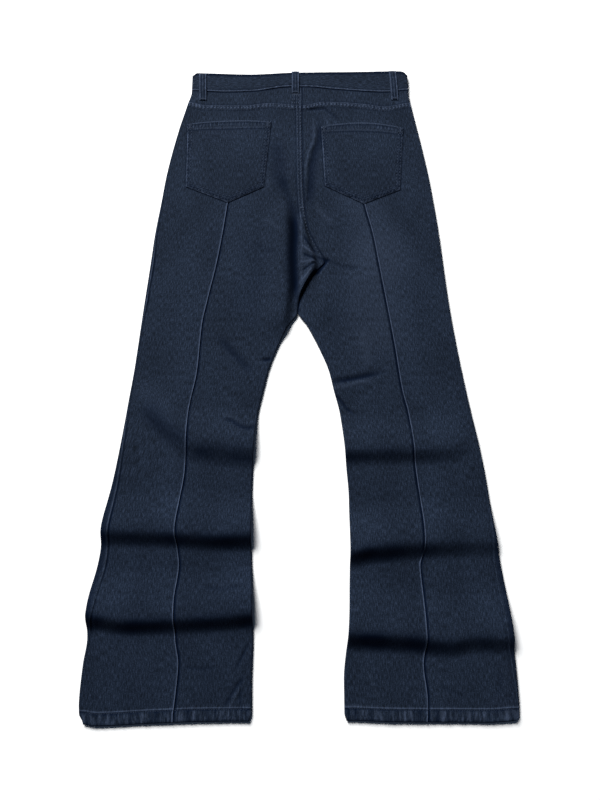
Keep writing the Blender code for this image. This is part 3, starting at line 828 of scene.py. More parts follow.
            # A rubbed pale line on the seam's raised side, painted shade in the groove on its low side
            wear += 1.2 * uneven * raised * near(abs(off) - 0.9, 1.2)
            wear -= uneven * (1 - raised) * near(abs(off) - 1.8, 3.0)
        inside = self.past_outseam(x, y)
        if abs(inside) < 4 and y < SIDE_SEAM_TOP_Y:
            shown = 0.3 + 0.7 * smooth_step((self.wrap(y) - 4) / 4)
            below, above = self.edge_shows
            shown *= below + (above - below) * smooth_step((y + 372) / 50)
            # The outseam's raised line is rubbed paler, with painted shade in the groove inside it
            wear += shown * (0.8 + OUTSEAM_PATCHES.at(x, y)) * strips(OUTSEAM_WEAR_AND_SHADE, inside)
        # Painted shade along the outer edge, where the cloth rounds over
        past_edge = (self.outer(y) - x) * self.sign
        if past_edge < 12:
            wear -= 0.5 * smooth_step((12 - past_edge) / 8) * smooth_step((-1.5 - inside) / 2.5)
        return wear

    def fell_wear(self, x: float, y: float) -> float:
        """Rubbing along the felled seat seam and yoke seam, beaded where the stitches draw the cloth in,
        with painted shade in lines beside the fells.

        Args:
            x: place across the garment.
            y: place along it.

        Returns:
            The share of rubbing and painted shade.
        """
        wear = 0.0
        off = middle_line(y) - x
        if y > 190 and -4 < off < 13:
            fell = smooth_step((y - 230) / 40)
            beads = 0.7 + 0.9 * math.sin(math.tau * y / 6.4) + SEAT_BEADS.at(x, y)
            wear += fell * (strips(SEAT_WEAR_AND_SHADE, off) + 0.35 * beads * bell((off - 2.4) / 2.4))
            # Painted shade just past the seat seam, on the other half
            wear -= 0.8 * bell((off + 1.6) / 2.0)
        below = yoke_seam(x) - y
        if -4 < below < 13:
            beads = math.sin(math.tau * x / 6.3 + YOKE_WANDER.at(x, y)) + YOKE_BEADS.at(x, y) + 0.3
            wear += 0.6 * plateau(below, 1.2, YOKE_FELL - 1.5, 1.5) * beads + strips(YOKE_WEAR_AND_SHADE, below)
        return wear

    def point(self, station: float, spot: Spot, layer: Layer) -> Vector:
        """A point of the cloth's outer face.

        Args:
            station: the row.
            spot: the place in the row.
            layer: whether the back's relief applies.

        Returns:
            The point, in millimetres.
        """
        y = self.place(station, spot.x)
        z = self.lift(spot.x, y) + spot.share * TWO_LAYERS
        if layer is Layer.BACK or spot.up > 0.99:
            z += self.relief(spot.x, y) * max(spot.up, 0.0) ** 2
        else:
            z += self.front_relief(spot.x, y) * max(-spot.up, 0.0) ** 2
        return Vector((spot.x, y, z))

    def front_relief(self, x: float, y: float) -> float:
        """Grooves that let the front's stitching sink into its face, which rests on the surface."""
        return 0.6 * bell((y - self.hem(x) - HEM_ROW) / 2.2)

    def outer_spot(self, station: float, arc: float) -> Spot:
        """The spot this far round from the outer edge: above it where positive, else below.

        Args:
            station: the row.
            arc: the distance round, in millimetres.

        Returns:
            The spot.
        """
        angle = min(max(arc / EDGE_RADIUS, -QUARTER), QUARTER)
        inwards = EDGE_RADIUS * (1 - math.cos(angle)) + max(abs(arc) - QUARTER * EDGE_RADIUS, 0)
        x = self.on_row(self.outer, station) - self.sign * inwards
        return Spot(x, (1 + math.sin(angle)) / 2, self.sign * math.cos(angle), math.sin(angle))

    def inner_spot(self, station: float, step: float, top: bool) -> Spot:
        """The spot this share of the way round the inner curl, from the flat to the seam.

        Args:
            station: the row.
            step: the share, from 0 on the flat to 1 at the seam.
            top: whether it is on the back.

        Returns:
            The spot.
        """
        curled = smooth_step((CURL_FROM_Y - station) / (CURL_FROM_Y - CURL_FULL_Y))
        seam_angle = QUARTER * (1 - curled)
        angle = max(QUARTER * (1 - curled * step), SEAM_GAP / 2 / EDGE_RADIUS)
        inwards = max(curled * EDGE_RADIUS * (math.cos(seam_angle) - math.cos(angle)), 0)
        inwards += (1 - curled) * (1 - step) * SEAM_FLAT
        x = self.on_row(self.inner, station) + self.sign * inwards
        up = math.sin(angle) if top else -math.sin(angle)
        return Spot(x, (1 + up) / 2, -self.sign * math.cos(angle), up)

    def seam_arc(self, station: float) -> float:
        """The leg seam's distance round from the outer edge."""
        across = abs(self.on_row(self.outer, station) - self.on_row(self.leg_seam, station))
        return (QUARTER - 1) * EDGE_RADIUS + across


def add_object(name: str, data: bpy.types.ID) -> bpy.types.Object:
    """Put a mesh, a camera or a light into the scene.

    Args:
        name: the object's name.
        data: what it shows.

    Returns:
        The object, at the origin.
    """
    made = bpy.data.objects.new(name, data)
    bpy.context.scene.collection.objects.link(made)
    return made


def finish_mesh(name: str, shape: bmesh.types.BMesh, material: bpy.types.Material) -> bpy.types.Object:
    """Turn a finished bmesh into a smooth-shaded object that rides on the part's one body.

    Args:
        name: the object's name.
        shape: the bmesh, which is freed.
        material: its only material.

    Returns:
        The object.
    """
    mesh = bpy.data.meshes.new(name)
    shape.to_mesh(mesh)
    shape.free()
    mesh.shade_smooth()
    mesh.set_sharp_from_angle(angle=math.radians(45))
    mesh.materials.append(material)
    piece = add_object(name, mesh)
    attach(piece, "root")
    log.info("made %s with %d faces", name, len(mesh.polygons))
    return piece


def line_length(points: Sequence[Vector]) -> float:
    """The length of the line through these points."""
    return sum((after - before).length for before, after in zip(points, points[1:]))


class Cloth:
    """One cut piece: a grid of outer points given a thickness inwards, with its grain, its rubbing and its
    painted light and shade.
    """

    def __init__(self, node: str, rows: int, columns: int) -> None:
        """Start the piece that stands for a solid, with this many rows and columns of points."""
        self.node = node
        self.rows = rows
        self.columns = columns
        self.outer: dict[tuple[int, int], Vector] = {}
        self.inward: dict[tuple[int, int], Vector] = {}
        self.grain: dict[tuple[int, int], tuple[float, float]] = {}
        self.wear: dict[tuple[int, int], float] = {}

    def put(
        self,
        place: tuple[int, int],
        outer: Vector,
        inward: Vector,
        grain: tuple[float, float],
        wear: float,
    ) -> None:
        """Set one point of the grid.

        Args:
            place: its row and column.
            outer: where it is.
            inward: the way to the inner face, as long as the cloth is thick.
            grain: its place on the flat cloth, across and along the warp.
            wear: the share rubbed paler with painted highlight, or of painted shade below nought.
        """
        self.outer[place] = outer
        self.inward[place] = inward
        self.grain[place] = grain
        self.wear[place] = wear

    def make(self, material: bpy.types.Material, slot: str, lies_on: list[str]) -> None:
        """Build the closed shell as an object of this cloth, and hide the solid that it replaces.

        Args:
            material: its cloth.
            slot: its solid's material slot; not used.
            lies_on: the pieces that it rests on.
        """
        cloth = bmesh.new()
        number = cloth.verts.layers.int.new("number")
        # This vertex layer carries rubbing paler and painted shade darker, which the denim's colour reads
        wear = cloth.verts.layers.float.new("wear")
        bmesh.ops.create_grid(cloth, x_segments=self.columns - 1, y_segments=self.rows - 1, size=1)
        for corner in cloth.verts:
            row = round((corner.co.y + 1) / 2 * (self.rows - 1))
            across = round((corner.co.x + 1) / 2 * (self.columns - 1))
            corner[number] = row * self.columns + across
            corner[wear] = self.wear[row, across]
            corner.co = self.outer[row, across] * MILLIMETRE
        made = bmesh.ops.extrude_face_region(cloth, geom=list(cloth.faces), use_keep_orig=True)
        for item in made["geom"]:
            if isinstance(item, bmesh.types.BMVert):
                item.co += self.inward[divmod(item[number], self.columns)] * MILLIMETRE
        bmesh.ops.recalc_face_normals(cloth, faces=list(cloth.faces))
        flat = cloth.loops.layers.uv.new("grain")
        for face in cloth.faces:
            for loop in face.loops:
                across, along = self.grain[divmod(loop.vert[number], self.columns)]
                loop[flat].uv = (across * MILLIMETRE, along * MILLIMETRE)
        piece = finish_mesh(f"denim_{self.node}", cloth, material)
        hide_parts(self.node)
        self.declare(piece, lies_on)

    def declare(self, piece: bpy.types.Object, lies_on: list[str]) -> None:
        """Say how the piece is cut: its longest row, its middle column and its outer grid's area.

        Args:
            piece: the piece's object.
            lies_on: the pieces that it rests on; not used.
        """
        lines = [[self.outer[row, across] for across in range(self.columns)] for row in range(self.rows)]
        area = 0.0
        for lower, upper in zip(lines, lines[1:]):
            for a, b, c, d in zip(lower, lower[1:], upper[1:], upper):
                area += (c - a).cross(d - b).length / 2
        width = max(line_length(line) for line in lines)
        length = max(line_length([line[self.columns // 2] for line in lines]), area / width)
        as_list(lies_on)
        log.info("%s is cut %.0f by %.0f mm", piece.name, width, length)


@dataclass(frozen=True)
class Stitch:
    """A size of topstitching: its pitch, the length of thread that shows, and how thick it stands."""

    pitch: float = 6.2
    length: float = 3.8
    thick: float = 1.2
    wander: float = 0.15
    # The close stitches of a bar tack
    tack_pitch: float = 0.95


class Needlework:
    """Rows of topstitching on one piece, gathered into one mesh."""

    def __init__(self, name: str, stitch: Stitch) -> None:
        """Start an empty mesh of this size of stitch."""
        self.name = f"stitching_{name}"
        self.stitch = stitch
        self.mesh = bmesh.new()
        self.count = 0

    def row(self, path: Sequence[tuple[float, float]], face: Face, under: bool = False) -> None:
        """Sew one row of stitches.

        Args:
            path: the row's points across and along the garment.
            face: the height of the cloth's face at a point.
            under: whether the row is on a face that looks down.
        """
        legs = [(Vector(a), Vector(b)) for a, b in zip(path, path[1:])]
        total = sum((b - a).length for a, b in legs)
        count = max(int(total / self.stitch.pitch), 1)
        for place in range(count):
            middle, way = self.along(legs, (place + 0.5) * (total / count))
            wander = Cloud(self.stitch.wander, 1.7, 9, 4.2).at(place, total)
            self.one(middle + Vector((-way.y, way.x)) * wander, way, face, under)

    def along(self, legs: list[tuple[Vector, Vector]], run: float) -> tuple[Vector, Vector]:
        """A point on a path.

        Args:
            legs: the path's straight legs.
            run: how far along it the point lies.

        Returns:
            The point and the way that the path runs there.
        """
        for start, end in legs:
            length = (end - start).length
            if run <= length or (start, end) == legs[-1]:
                break
            run -= length
        way = (end - start).normalized()
        return start + way * run, way

    def one(self, middle: Vector, way: Vector, face: Face, under: bool) -> None:
        """Add one stitch, as a grain of thread half sunk in the cloth.

        Args:
            middle: its place.
            way: its direction.
            face: the height of the cloth's face.
            under: whether the face looks down.
        """
        length, thick = self.stitch.length, self.stitch.thick
        start, end = middle - way * length / 2, middle + way * length / 2
        low, high = face(start.x, start.y), face(end.x, end.y)
        ahead = Vector((way.x * length, way.y * length, high - low)).normalized()
        turn = ahead.to_track_quat("Z", "Y").to_matrix().to_4x4()
        height = (low + high + 2 * face(middle.x, middle.y)) / 4 + (-0.1 if under else 0.1) * thick
        place = Matrix.Translation(Vector((middle.x, middle.y, height)) * MILLIMETRE)
        size = Matrix.Diagonal((*(Vector((thick, thick, length)) / 2 * MILLIMETRE), 1))
        bmesh.ops.create_uvsphere(
            self.mesh, u_segments=6, v_segments=4, radius=1, matrix=place @ turn @ size
        )
        self.count += 1

    def bar_tack(self, start: tuple[float, float], end: tuple[float, float], face: Face) -> None:
        """Close stitches across a short line, which lock the end of a seam or a loop.

        Args:
            start: one end of the tack.
            end: the other end.
            face: the height of the cloth's face.
        """
        first, last = Vector(start), Vector(end)
        way = (last - first).normalized()
        count = max(int((last - first).length / self.stitch.tack_pitch), 2)
        for at in range(count + 1):
            self.one(first.lerp(last, at / count), Vector((-way.y, way.x)), face, False)

    def make(self, material: bpy.types.Material) -> None:
        """Build the rows as one object of this thread."""
        log.info("sewed %d stitches of %s", self.count, self.name)
        finish_mesh(self.name, self.mesh, material)


def hex_colour(code: str) -> tuple[float, float, float, float]:
    """Turn an sRGB hex colour to the linear colour that a shader takes.

    Args:
        code: the colour, such as #1d2637.

    Returns:
        Linear red, green, blue and an alpha of 1.
    """
    parts = [int(code[start : start + 2], 16) / 255 for start in (1, 3, 5)]
    linear = [part / 12.92 if part <= 0.04045 else ((part + 0.055) / 1.055) ** 2.4 for part in parts]
    return (linear[0], linear[1], linear[2], 1.0)


def feed(tree: bpy.types.NodeTree, node: bpy.types.Node, inputs: dict[object, object]) -> None:
    """Fill a node's sockets.

    Args:
        tree: the material's nodes.
        node: the node.
        inputs: its sockets, by name or number, each with a value or with the (node, output) to link.
    """
    for socket, value in inputs.items():
        if isinstance(value, tuple) and isinstance(value[0], bpy.types.Node):
            tree.links.new(value[0].outputs[value[1]], node.inputs[socket])
        else:
            node.inputs[socket].default_value = value


def add_node(
    tree: bpy.types.NodeTree, kind: str, settings: dict[str, object], inputs: dict[object, object]
) -> bpy.types.Node:
    """Add a node to a material.

    Args:
        tree: the material's nodes.
        kind: the node's type.
        settings: its own settings, by name.
        inputs: its sockets, as feed takes them.

    Returns:
        The node.
    """
    made = tree.nodes.new(kind)
    for name, value in settings.items():
        setattr(made, name, value)
    feed(tree, made, inputs)
    return made


def ramp(
    tree: bpy.types.NodeTree, value: tuple[bpy.types.Node, int], stops: Sequence[tuple[float, str]]
) -> bpy.types.Node:
    """Colours that follow a value.

    Args:
        tree: the material's nodes.
        value: the node and output to read.
        stops: the value and the colour of each step, in order.

    Returns:
        The node.
    """
    made = add_node(tree, "ShaderNodeValToRGB", {}, {"Fac": value})
    points = made.color_ramp.elements
    for point, (place, code) in ((points[0], stops[0]), (points[1], stops[-1])):
        point.position, point.color = place, hex_colour(code)
    for place, code in stops[1:-1]:
        points.new(place).color = hex_colour(code)
    return made


def mottle(tree: bpy.types.NodeTree, size: float, detail: float) -> bpy.types.Node:
    """Even noise all over an object.

    Args:
        tree: the material's nodes.
        size: the size of its patches in millimetres.
        detail: how many finer layers it has.

    Returns:
        The node.
    """
    place = (add_node(tree, "ShaderNodeTexCoord", {}, {}), "Object")
    inputs = {"Vector": place, "Scale": 1 / (size * MILLIMETRE), "Detail": detail}
    return add_node(tree, "ShaderNodeTexNoise", {}, inputs)


def new_material(name: str) -> tuple[bpy.types.Material, bpy.types.NodeTree, bpy.types.Node]:
    """Start a material.

    Args:
        name: the real material's name.

    Returns:
        The material, its nodes, and its main shader.
    """
    material = bpy.data.materials.new(name)
    material.use_nodes = True
    tree = material.node_tree
    return material, tree, tree.nodes["Principled BSDF"]


@dataclass(frozen=True)
class IndigoDenim:
    """Rigid indigo denim, a three by one cotton twill of dyed warp over a paler weft.

    The weft shows as a fine pale heather and the ring-spun warp as uneven streaks along the leg. Raw
    cotton has no gloss, only the soft lightening of its nap at grazing light.
    """

    name: str = "indigo_denim"
    shadow: str = "#0d1118"
    body: str = "#161e2a"
    pale: str = "#2b3547"
    # worn_and_highlight is the rubbed colour, also painted as highlight on raised edges; painted_shade is
    # the near-black blue painted into folds, grooves and gaps
    worn_and_highlight: str = "#434e63"
    painted_shade: str = "#030b1b"
    nap: str = "#8c9cbc"
    # Warp ends are 0.5 mm apart, drawn 1.2 mm wide so that the streaks show in the picture
    streak: tuple[float, float] = (1.2, 8.5)
    heather: tuple[float, float] = (1.35, 2.025)
    cloud: tuple[float, float] = (65.0, 130.0)
    # The twill's ridges are 0.9 mm apart, drawn at 1.8 mm for the same reason
    twill_pitch: float = 1.8
    twill_angle: float = 63.0
    relief: float = 0.35

    def patches(
        self,
        tree: bpy.types.NodeTree,
        size: tuple[float, float],
        shift: tuple[float, float],
        fineness: dict[object, object],
    ) -> bpy.types.Node:
        """Noise on the flat cloth.

        Args:
            tree: the material's nodes.
            size: how wide and long its patches are in millimetres.
            shift: how far it is moved, so that it doesn't follow the other noise.
            fineness: the noise's detail and roughness.

        Returns:
            The node.
        """
        grain = (add_node(tree, "ShaderNodeUVMap", {"uv_map": "grain"}, {}), "UV")
        scale = (1 / (size[0] * MILLIMETRE), 1 / (size[1] * MILLIMETRE), 1)
        inputs = {"Vector": grain, "Scale": scale, "Location": (*shift, 0)}
        place = add_node(tree, "ShaderNodeMapping", {}, inputs)
        inputs = {"Vector": (place, 0), "Scale": 1.0, **fineness}
        return add_node(tree, "ShaderNodeTexNoise", {"noise_dimensions": "2D"}, inputs)

    def twill(self, tree: bpy.types.NodeTree) -> bpy.types.Node:
        """The twill's slanting ridges.

        Args:
            tree: the material's nodes.

        Returns:
            The node.
        """
        grain = (add_node(tree, "ShaderNodeUVMap", {"uv_map": "grain"}, {}), "UV")
        turn = (0, 0, math.radians(-self.twill_angle))
        scale = (1 / MILLIMETRE, 1 / MILLIMETRE, 1)
        inputs = {"Vector": grain, "Rotation": turn, "Scale": scale}
        place = add_node(tree, "ShaderNodeMapping", {}, inputs)
        inputs = {"Vector": (place, 0), "Scale": math.tau / 20 / self.twill_pitch}
        inputs |= {"Distortion": 1.2, "Detail": 1.0, "Detail Scale": 0.6}
        return add_node(tree, "ShaderNodeTexWave", {"bands_direction": "Y"}, inputs)

    def material(self) -> bpy.types.Material:
        """Build the denim.

        Returns:
            The material, which reads the piece's grain and its rubbing and painted light.
        """
        material, tree, shader = new_material(self.name)
        layers = (
            (self.patches(tree, self.streak, (0, 0), {"Detail": 2.0, "Roughness": 0.55}), 0, 0.5),
            (self.patches(tree, self.heather, (31, 17), {"Detail": 3.0, "Roughness": 0.7}), 0, 0.42),
            (self.twill(tree), 1, 0.08),
        )
        heights = []
        for node, output, share in layers:
            inputs = {0: (node, output), 1: share, 2: (heights[-1], 0) if heights else 0.0}
            heights.append(add_node(tree, "ShaderNodeMath", {"operation": "MULTIPLY_ADD"}, inputs))
        _, yarn, surface = heights
        colours = ramp(tree, (surface, 0), ((0.345, self.shadow), (0.5, self.body), (0.675, self.pale)))
        cloud = (self.patches(tree, self.cloud, (0, 0), {"Detail": 2.0}), 0)
        shade = {"Value": cloud, "From Min": 0.3, "From Max": 0.7, "To Min": 0.86, "To Max": 1.14}
        shade = (add_node(tree, "ShaderNodeMapRange", {}, shade), 0)
        inputs = {0: (colours, 0), "Scale": shade}
        colour = (add_node(tree, "ShaderNodeVectorMath", {"operation": "SCALE"}, inputs), 0)
        wear = (add_node(tree, "ShaderNodeAttribute", {"attribute_name": "wear"}, {}), "Fac")
        patchy = {"Value": (yarn, 0), "From Min": 0.3, "From Max": 0.6, "To Min": 0.35, "To Max": 1.0}
        patchy = (add_node(tree, "ShaderNodeMapRange", {}, patchy), 0)
        # Above nought the rubbed colour with painted highlight is mixed in, below nought the painted shade
        for share, code in ((patchy, self.worn_and_highlight), (-1.0, self.painted_shade)):
            amount = add_node(tree, "ShaderNodeMath", {"operation": "MULTIPLY"}, {0: wear, 1: share})
            inputs = {0: (amount, 0), 6: colour, 7: hex_colour(code)}
            colour = (add_node(tree, "ShaderNodeMix", {"data_type": "RGBA"}, inputs), 2)
        inputs = {"Strength": 0.8, "Distance": self.relief * MILLIMETRE, "Height": (surface, 0)}
        inputs = {"Base Color": colour, "Normal": (add_node(tree, "ShaderNodeBump", {}, inputs), 0)}
        inputs |= {"Roughness": 0.9, "Specular IOR Level": 0.03, "Sheen Weight": 0.02}
        inputs |= {"Sheen Roughness": 0.5, "Sheen Tint": hex_colour(self.nap)}
        feed(tree, shader, inputs)
        return material


@dataclass(frozen=True)
class ToneThread:
    """Spun polyester topstitching thread, dyed a little paler than the denim, with almost no gloss."""

    name: str = "tone_on_tone_thread"
    dark: str = "#192230"
    pale: str = "#354053"
    # The two plies turn once in 1.2 mm
    ply: float = 1.2
    relief: float = 0.1

    def material(self) -> bpy.types.Material:
        """Build the thread.

        Returns:
            The material.
        """
        material, tree, shader = new_material(self.name)
        fibre = (mottle(tree, self.ply, 2.0), 0)
        inputs = {"Strength": 0.5, "Distance": self.relief * MILLIMETRE, "Height": fibre}
        inputs = {"Normal": (add_node(tree, "ShaderNodeBump", {}, inputs), 0)}
        inputs |= {"Base Color": (ramp(tree, fibre, ((0.3, self.dark), (0.7, self.pale))), 0)}
        feed(tree, shader, inputs | {"Roughness": 0.75, "Specular IOR Level": 0.12})
        return material


@dataclass(frozen=True)
class AgedBrass:
    """Pressed and darkened brass: warm and shiny on its raised rim, brown and dull in its hollows."""

    name: str = "aged_brass"
    bright: str = "#b99a63"
    brown: str = "#5f4a2c"
    # Tarnish gathers in spots of about 2 mm
    spot: float = 2.0

    def material(self) -> bpy.types.Material:
        """Build the metal.

        Returns:
            The material.
        """
        material, tree, shader = new_material(self.name)
        tarnish = (mottle(tree, self.spot, 4.0), 0)
        inputs = {"Value": tarnish, "To Min": 0.55, "To Max": 0.25}
        dullness = add_node(tree, "ShaderNodeMapRange", {}, inputs)
        colours = ramp(tree, tarnish, ((0.35, self.brown), (0.6, self.bright)))
        feed(tree, shader, {"Base Color": (colours, 0), "Roughness": (dullness, 0), "Metallic": 1.0})
        return material


@dataclass(frozen=True)
class PaperBackdrop:
    """White backdrop paper: matt, with no pattern that shows."""

    name: str = "white_paper"
    colour: str = "#f3f3f2"

    def material(self) -> bpy.types.Material:
        """Build the paper.

        Returns:
            The material.
        """
        material, tree, shader = new_material(self.name)
        feed(tree, shader, {"Base Color": hex_colour(self.colour), "Roughness": 0.95})
        return material


@dataclass(frozen=True)
class Finishes:
    """The materials, made once."""

    denim: bpy.types.Material
    thread: bpy.types.Material
    brass: bpy.types.Material


@dataclass
class HalfPanels:
    """The front, the two back panels and the yoke of one half."""

    form: HalfForm
    finishes: Finishes
    row_step: float = 2.4
    front_row_step: float = 6.0
    edge_arcs: tuple[float, ...] = (0.0, 0.7, 1.5, 2.6, 4.0, 5.6)
    seam_arcs: tuple[float, ...] = (0.15, 1.0, 1.8, 2.6, 3.5, 4.6)
    curl_steps: tuple[float, ...] = (0.14, 0.28, 0.42, 0.56, 0.7, 0.85, 1.0)
    fell_offsets: tuple[float, ...] = (
        24.0, 22.0, 20.0, 18.2, 16.5, 15.0, 13.5, 12.0, 10.5, 9.0, 7.5, 6.0, 4.5, 3.2, 2.2, 1.1,
    )
    # Close rows over the hem's edges, up from the hem, and over the felled yoke seam, down from it
    hem_rows: tuple[float, ...] = (0.5, 1.1, 1.9, 15.2, 15.9, 16.6, 17.3, 18.1, 19.0, 19.8, 20.6)
    yoke_rows: tuple[float, ...] = (1.1, 2.1, 6.2, 7.4, 8.2, 9.0, 10.0)
    outer_columns: int = 46
    inner_columns: int = 34

    def stations(self, high: float, step: float) -> list[float]:
        """The rows of a leg, closer together on the hem and the felled yoke seam.

        Args:
            high: the last row.
            step: the distance between the rest.

        Returns:
            The rows from the hem up.
        """
        rows = steps(HEM_Y, high, round((high - HEM_Y) / step))
        close = [HEM_Y + at for at in self.hem_rows] + [YOKE_Y - at for at in self.yoke_rows]
        kept = [row for row in rows if all(abs(row - other) > 0.45 * step for other in close)]
        kept += [row for row in (rows[0], rows[-1]) if row not in kept]
        kept += [row for row in close if row < high - 0.5 and row not in kept]
        return sorted(kept)

    def outer_arcs(self, station: float, start: float) -> list[float]:
        """Distances round from the outer edge, from a start across to the leg seam.

        Args:
            station: the row.
            start: the first distance.

        Returns:
            The distances.
        """
        seam = self.form.seam_arc(station)
        first = [start + arc for arc in self.edge_arcs]
        last = [seam - arc for arc in reversed(self.seam_arcs)]
        return first + spread(first[-1], last[0], self.outer_columns) + last

    def inner_flat(self, station: float, top: bool) -> list[Spot]:
        """Spots from the leg seam across to the start of the inner curl.

        Args:
            station: the row.
            top: whether they are on the back.

        Returns:
            The spots.
        """
        way = 1 if top else -1
        seam = self.form.seam_arc(station)
        spots = [self.form.outer_spot(station, way * (seam + arc)) for arc in self.seam_arcs]
        last = self.form.inner_spot(station, 0, top)
        close = [last._replace(x=last.x + self.form.sign * offset) for offset in self.fell_offsets]
        between = spread(spots[-1].x, close[0].x, self.inner_columns)
        return spots + [spots[-1]._replace(x=x) for x in between] + close + [last]

    def curl(self, station: float, top: bool) -> list[Spot]:
        """Spots round the inner curl, to the seam."""
        return [self.form.inner_spot(station, step, top) for step in self.curl_steps]

    def back_outer(self, station: float) -> list[Spot]:
        """From the outseam across to the leg seam."""
        start = self.form.wrap(station) + SEAM_GAP / 2
        return [self.form.outer_spot(station, arc) for arc in self.outer_arcs(station, start)]

    def back_inner(self, station: float) -> list[Spot]:
        """From the leg seam across to the seat seam or the inner edge."""
        return self.inner_flat(station, True) + self.curl(station, True)

    def yoke(self, station: float) -> list[Spot]:
        """From the outseam across to the seat seam, in one piece."""
        return self.back_outer(station)[:-1] + self.back_inner(station)[1:]

    def front(self, station: float) -> list[Spot]:
        """From the inner edge, under the leg and round the outer edge to the outseam."""
        inner = (self.inner_flat(station, False) + self.curl(station, False))[:0:-1]
        quarter = QUARTER * EDGE_RADIUS
        arcs = [-arc for arc in reversed(self.outer_arcs(station, quarter))]
        arcs += steps(-quarter, 0.0, 5)[1:] + steps(0.0, self.form.wrap(station) - SEAM_GAP / 2, 14)[1:]
        return inner + [self.form.outer_spot(station, arc) for arc in arcs]

    def lay_out(
        self,
        node: str,
        spots: Callable[[float], list[Spot]],
        stations: list[float],
        seam_column: int,
    ) -> Cloth:
        """Work out a panel's points, grain, rubbing and painted light.

        Args:
            node: the solid that it stands for.
            spots: the spots of a row.
            stations: the rows.
            seam_column: the column that the grain is measured across from.

        Returns:
            The piece, ready to be made.
        """
        layer = Layer.FRONT if node.startswith("front") else Layer.BACK
        sections = [spots(station) for station in stations]
        piece = Cloth(node, len(stations), len(sections[0]))
        above, up_the_leg = None, 0.0
        for row, (station, section) in enumerate(zip(stations, sections)):
            points = [self.form.point(station, spot, layer) for spot in section]
            run = [0.0]
            for before, after in zip(points, points[1:]):
                run.append(run[-1] + (after - before).length)
            if above is not None:
                up_the_leg += (points[seam_column] - above).length
            above = points[seam_column]
            thick = HEM_WALL if station < HEM_Y + HEM_DEPTH else SHELL
            for column, (spot, point) in enumerate(zip(section, points)):
                inward = Vector((-spot.out, 0, -spot.up)) * thick
                grain = (run[column] - run[seam_column], up_the_leg)
                wear = self.form.back_wear(point.x, point.y) if spot.up > 0.2 else 0.0
                piece.put((row, column), point, inward, grain, wear)
        return piece

    def make(self) -> None:
        """Build the four pieces in denim."""
        side = self.form.name
        rows = self.stations(YOKE_Y - SEAM_GAP, self.row_step)
        front_rows = self.stations(WAIST_Y - SEAM_GAP, self.front_row_step)
        yoke_rows = [YOKE_Y + 0.01, YOKE_Y + 0.9, *steps(YOKE_Y + 2.0, WAIST_Y - 3.0, 10)]
        yoke_rows += [WAIST_Y - 1.8, WAIST_Y - 0.9, WAIST_Y - SEAM_GAP]
        seam = len(self.back_outer(0.0)) - 1
        front_seam = len(self.back_inner(0.0)) - 1
        under = [f"front_{side}"]
        for node, spots, stations, column, slot, lies_on in (
            ("back_outer", self.back_outer, rows, seam, "denim", under),
            ("back_inner", self.back_inner, rows, 0, "denim", under),
            ("yoke", self.yoke, yoke_rows, seam, "denim_trim", under),
            ("front", self.front, front_rows, front_seam, "denim", ["floor"]),
        ):
            cloth = self.lay_out(f"{node}_{side}", spots, stations, column)
            cloth.make(self.finishes.denim, slot, lies_on)


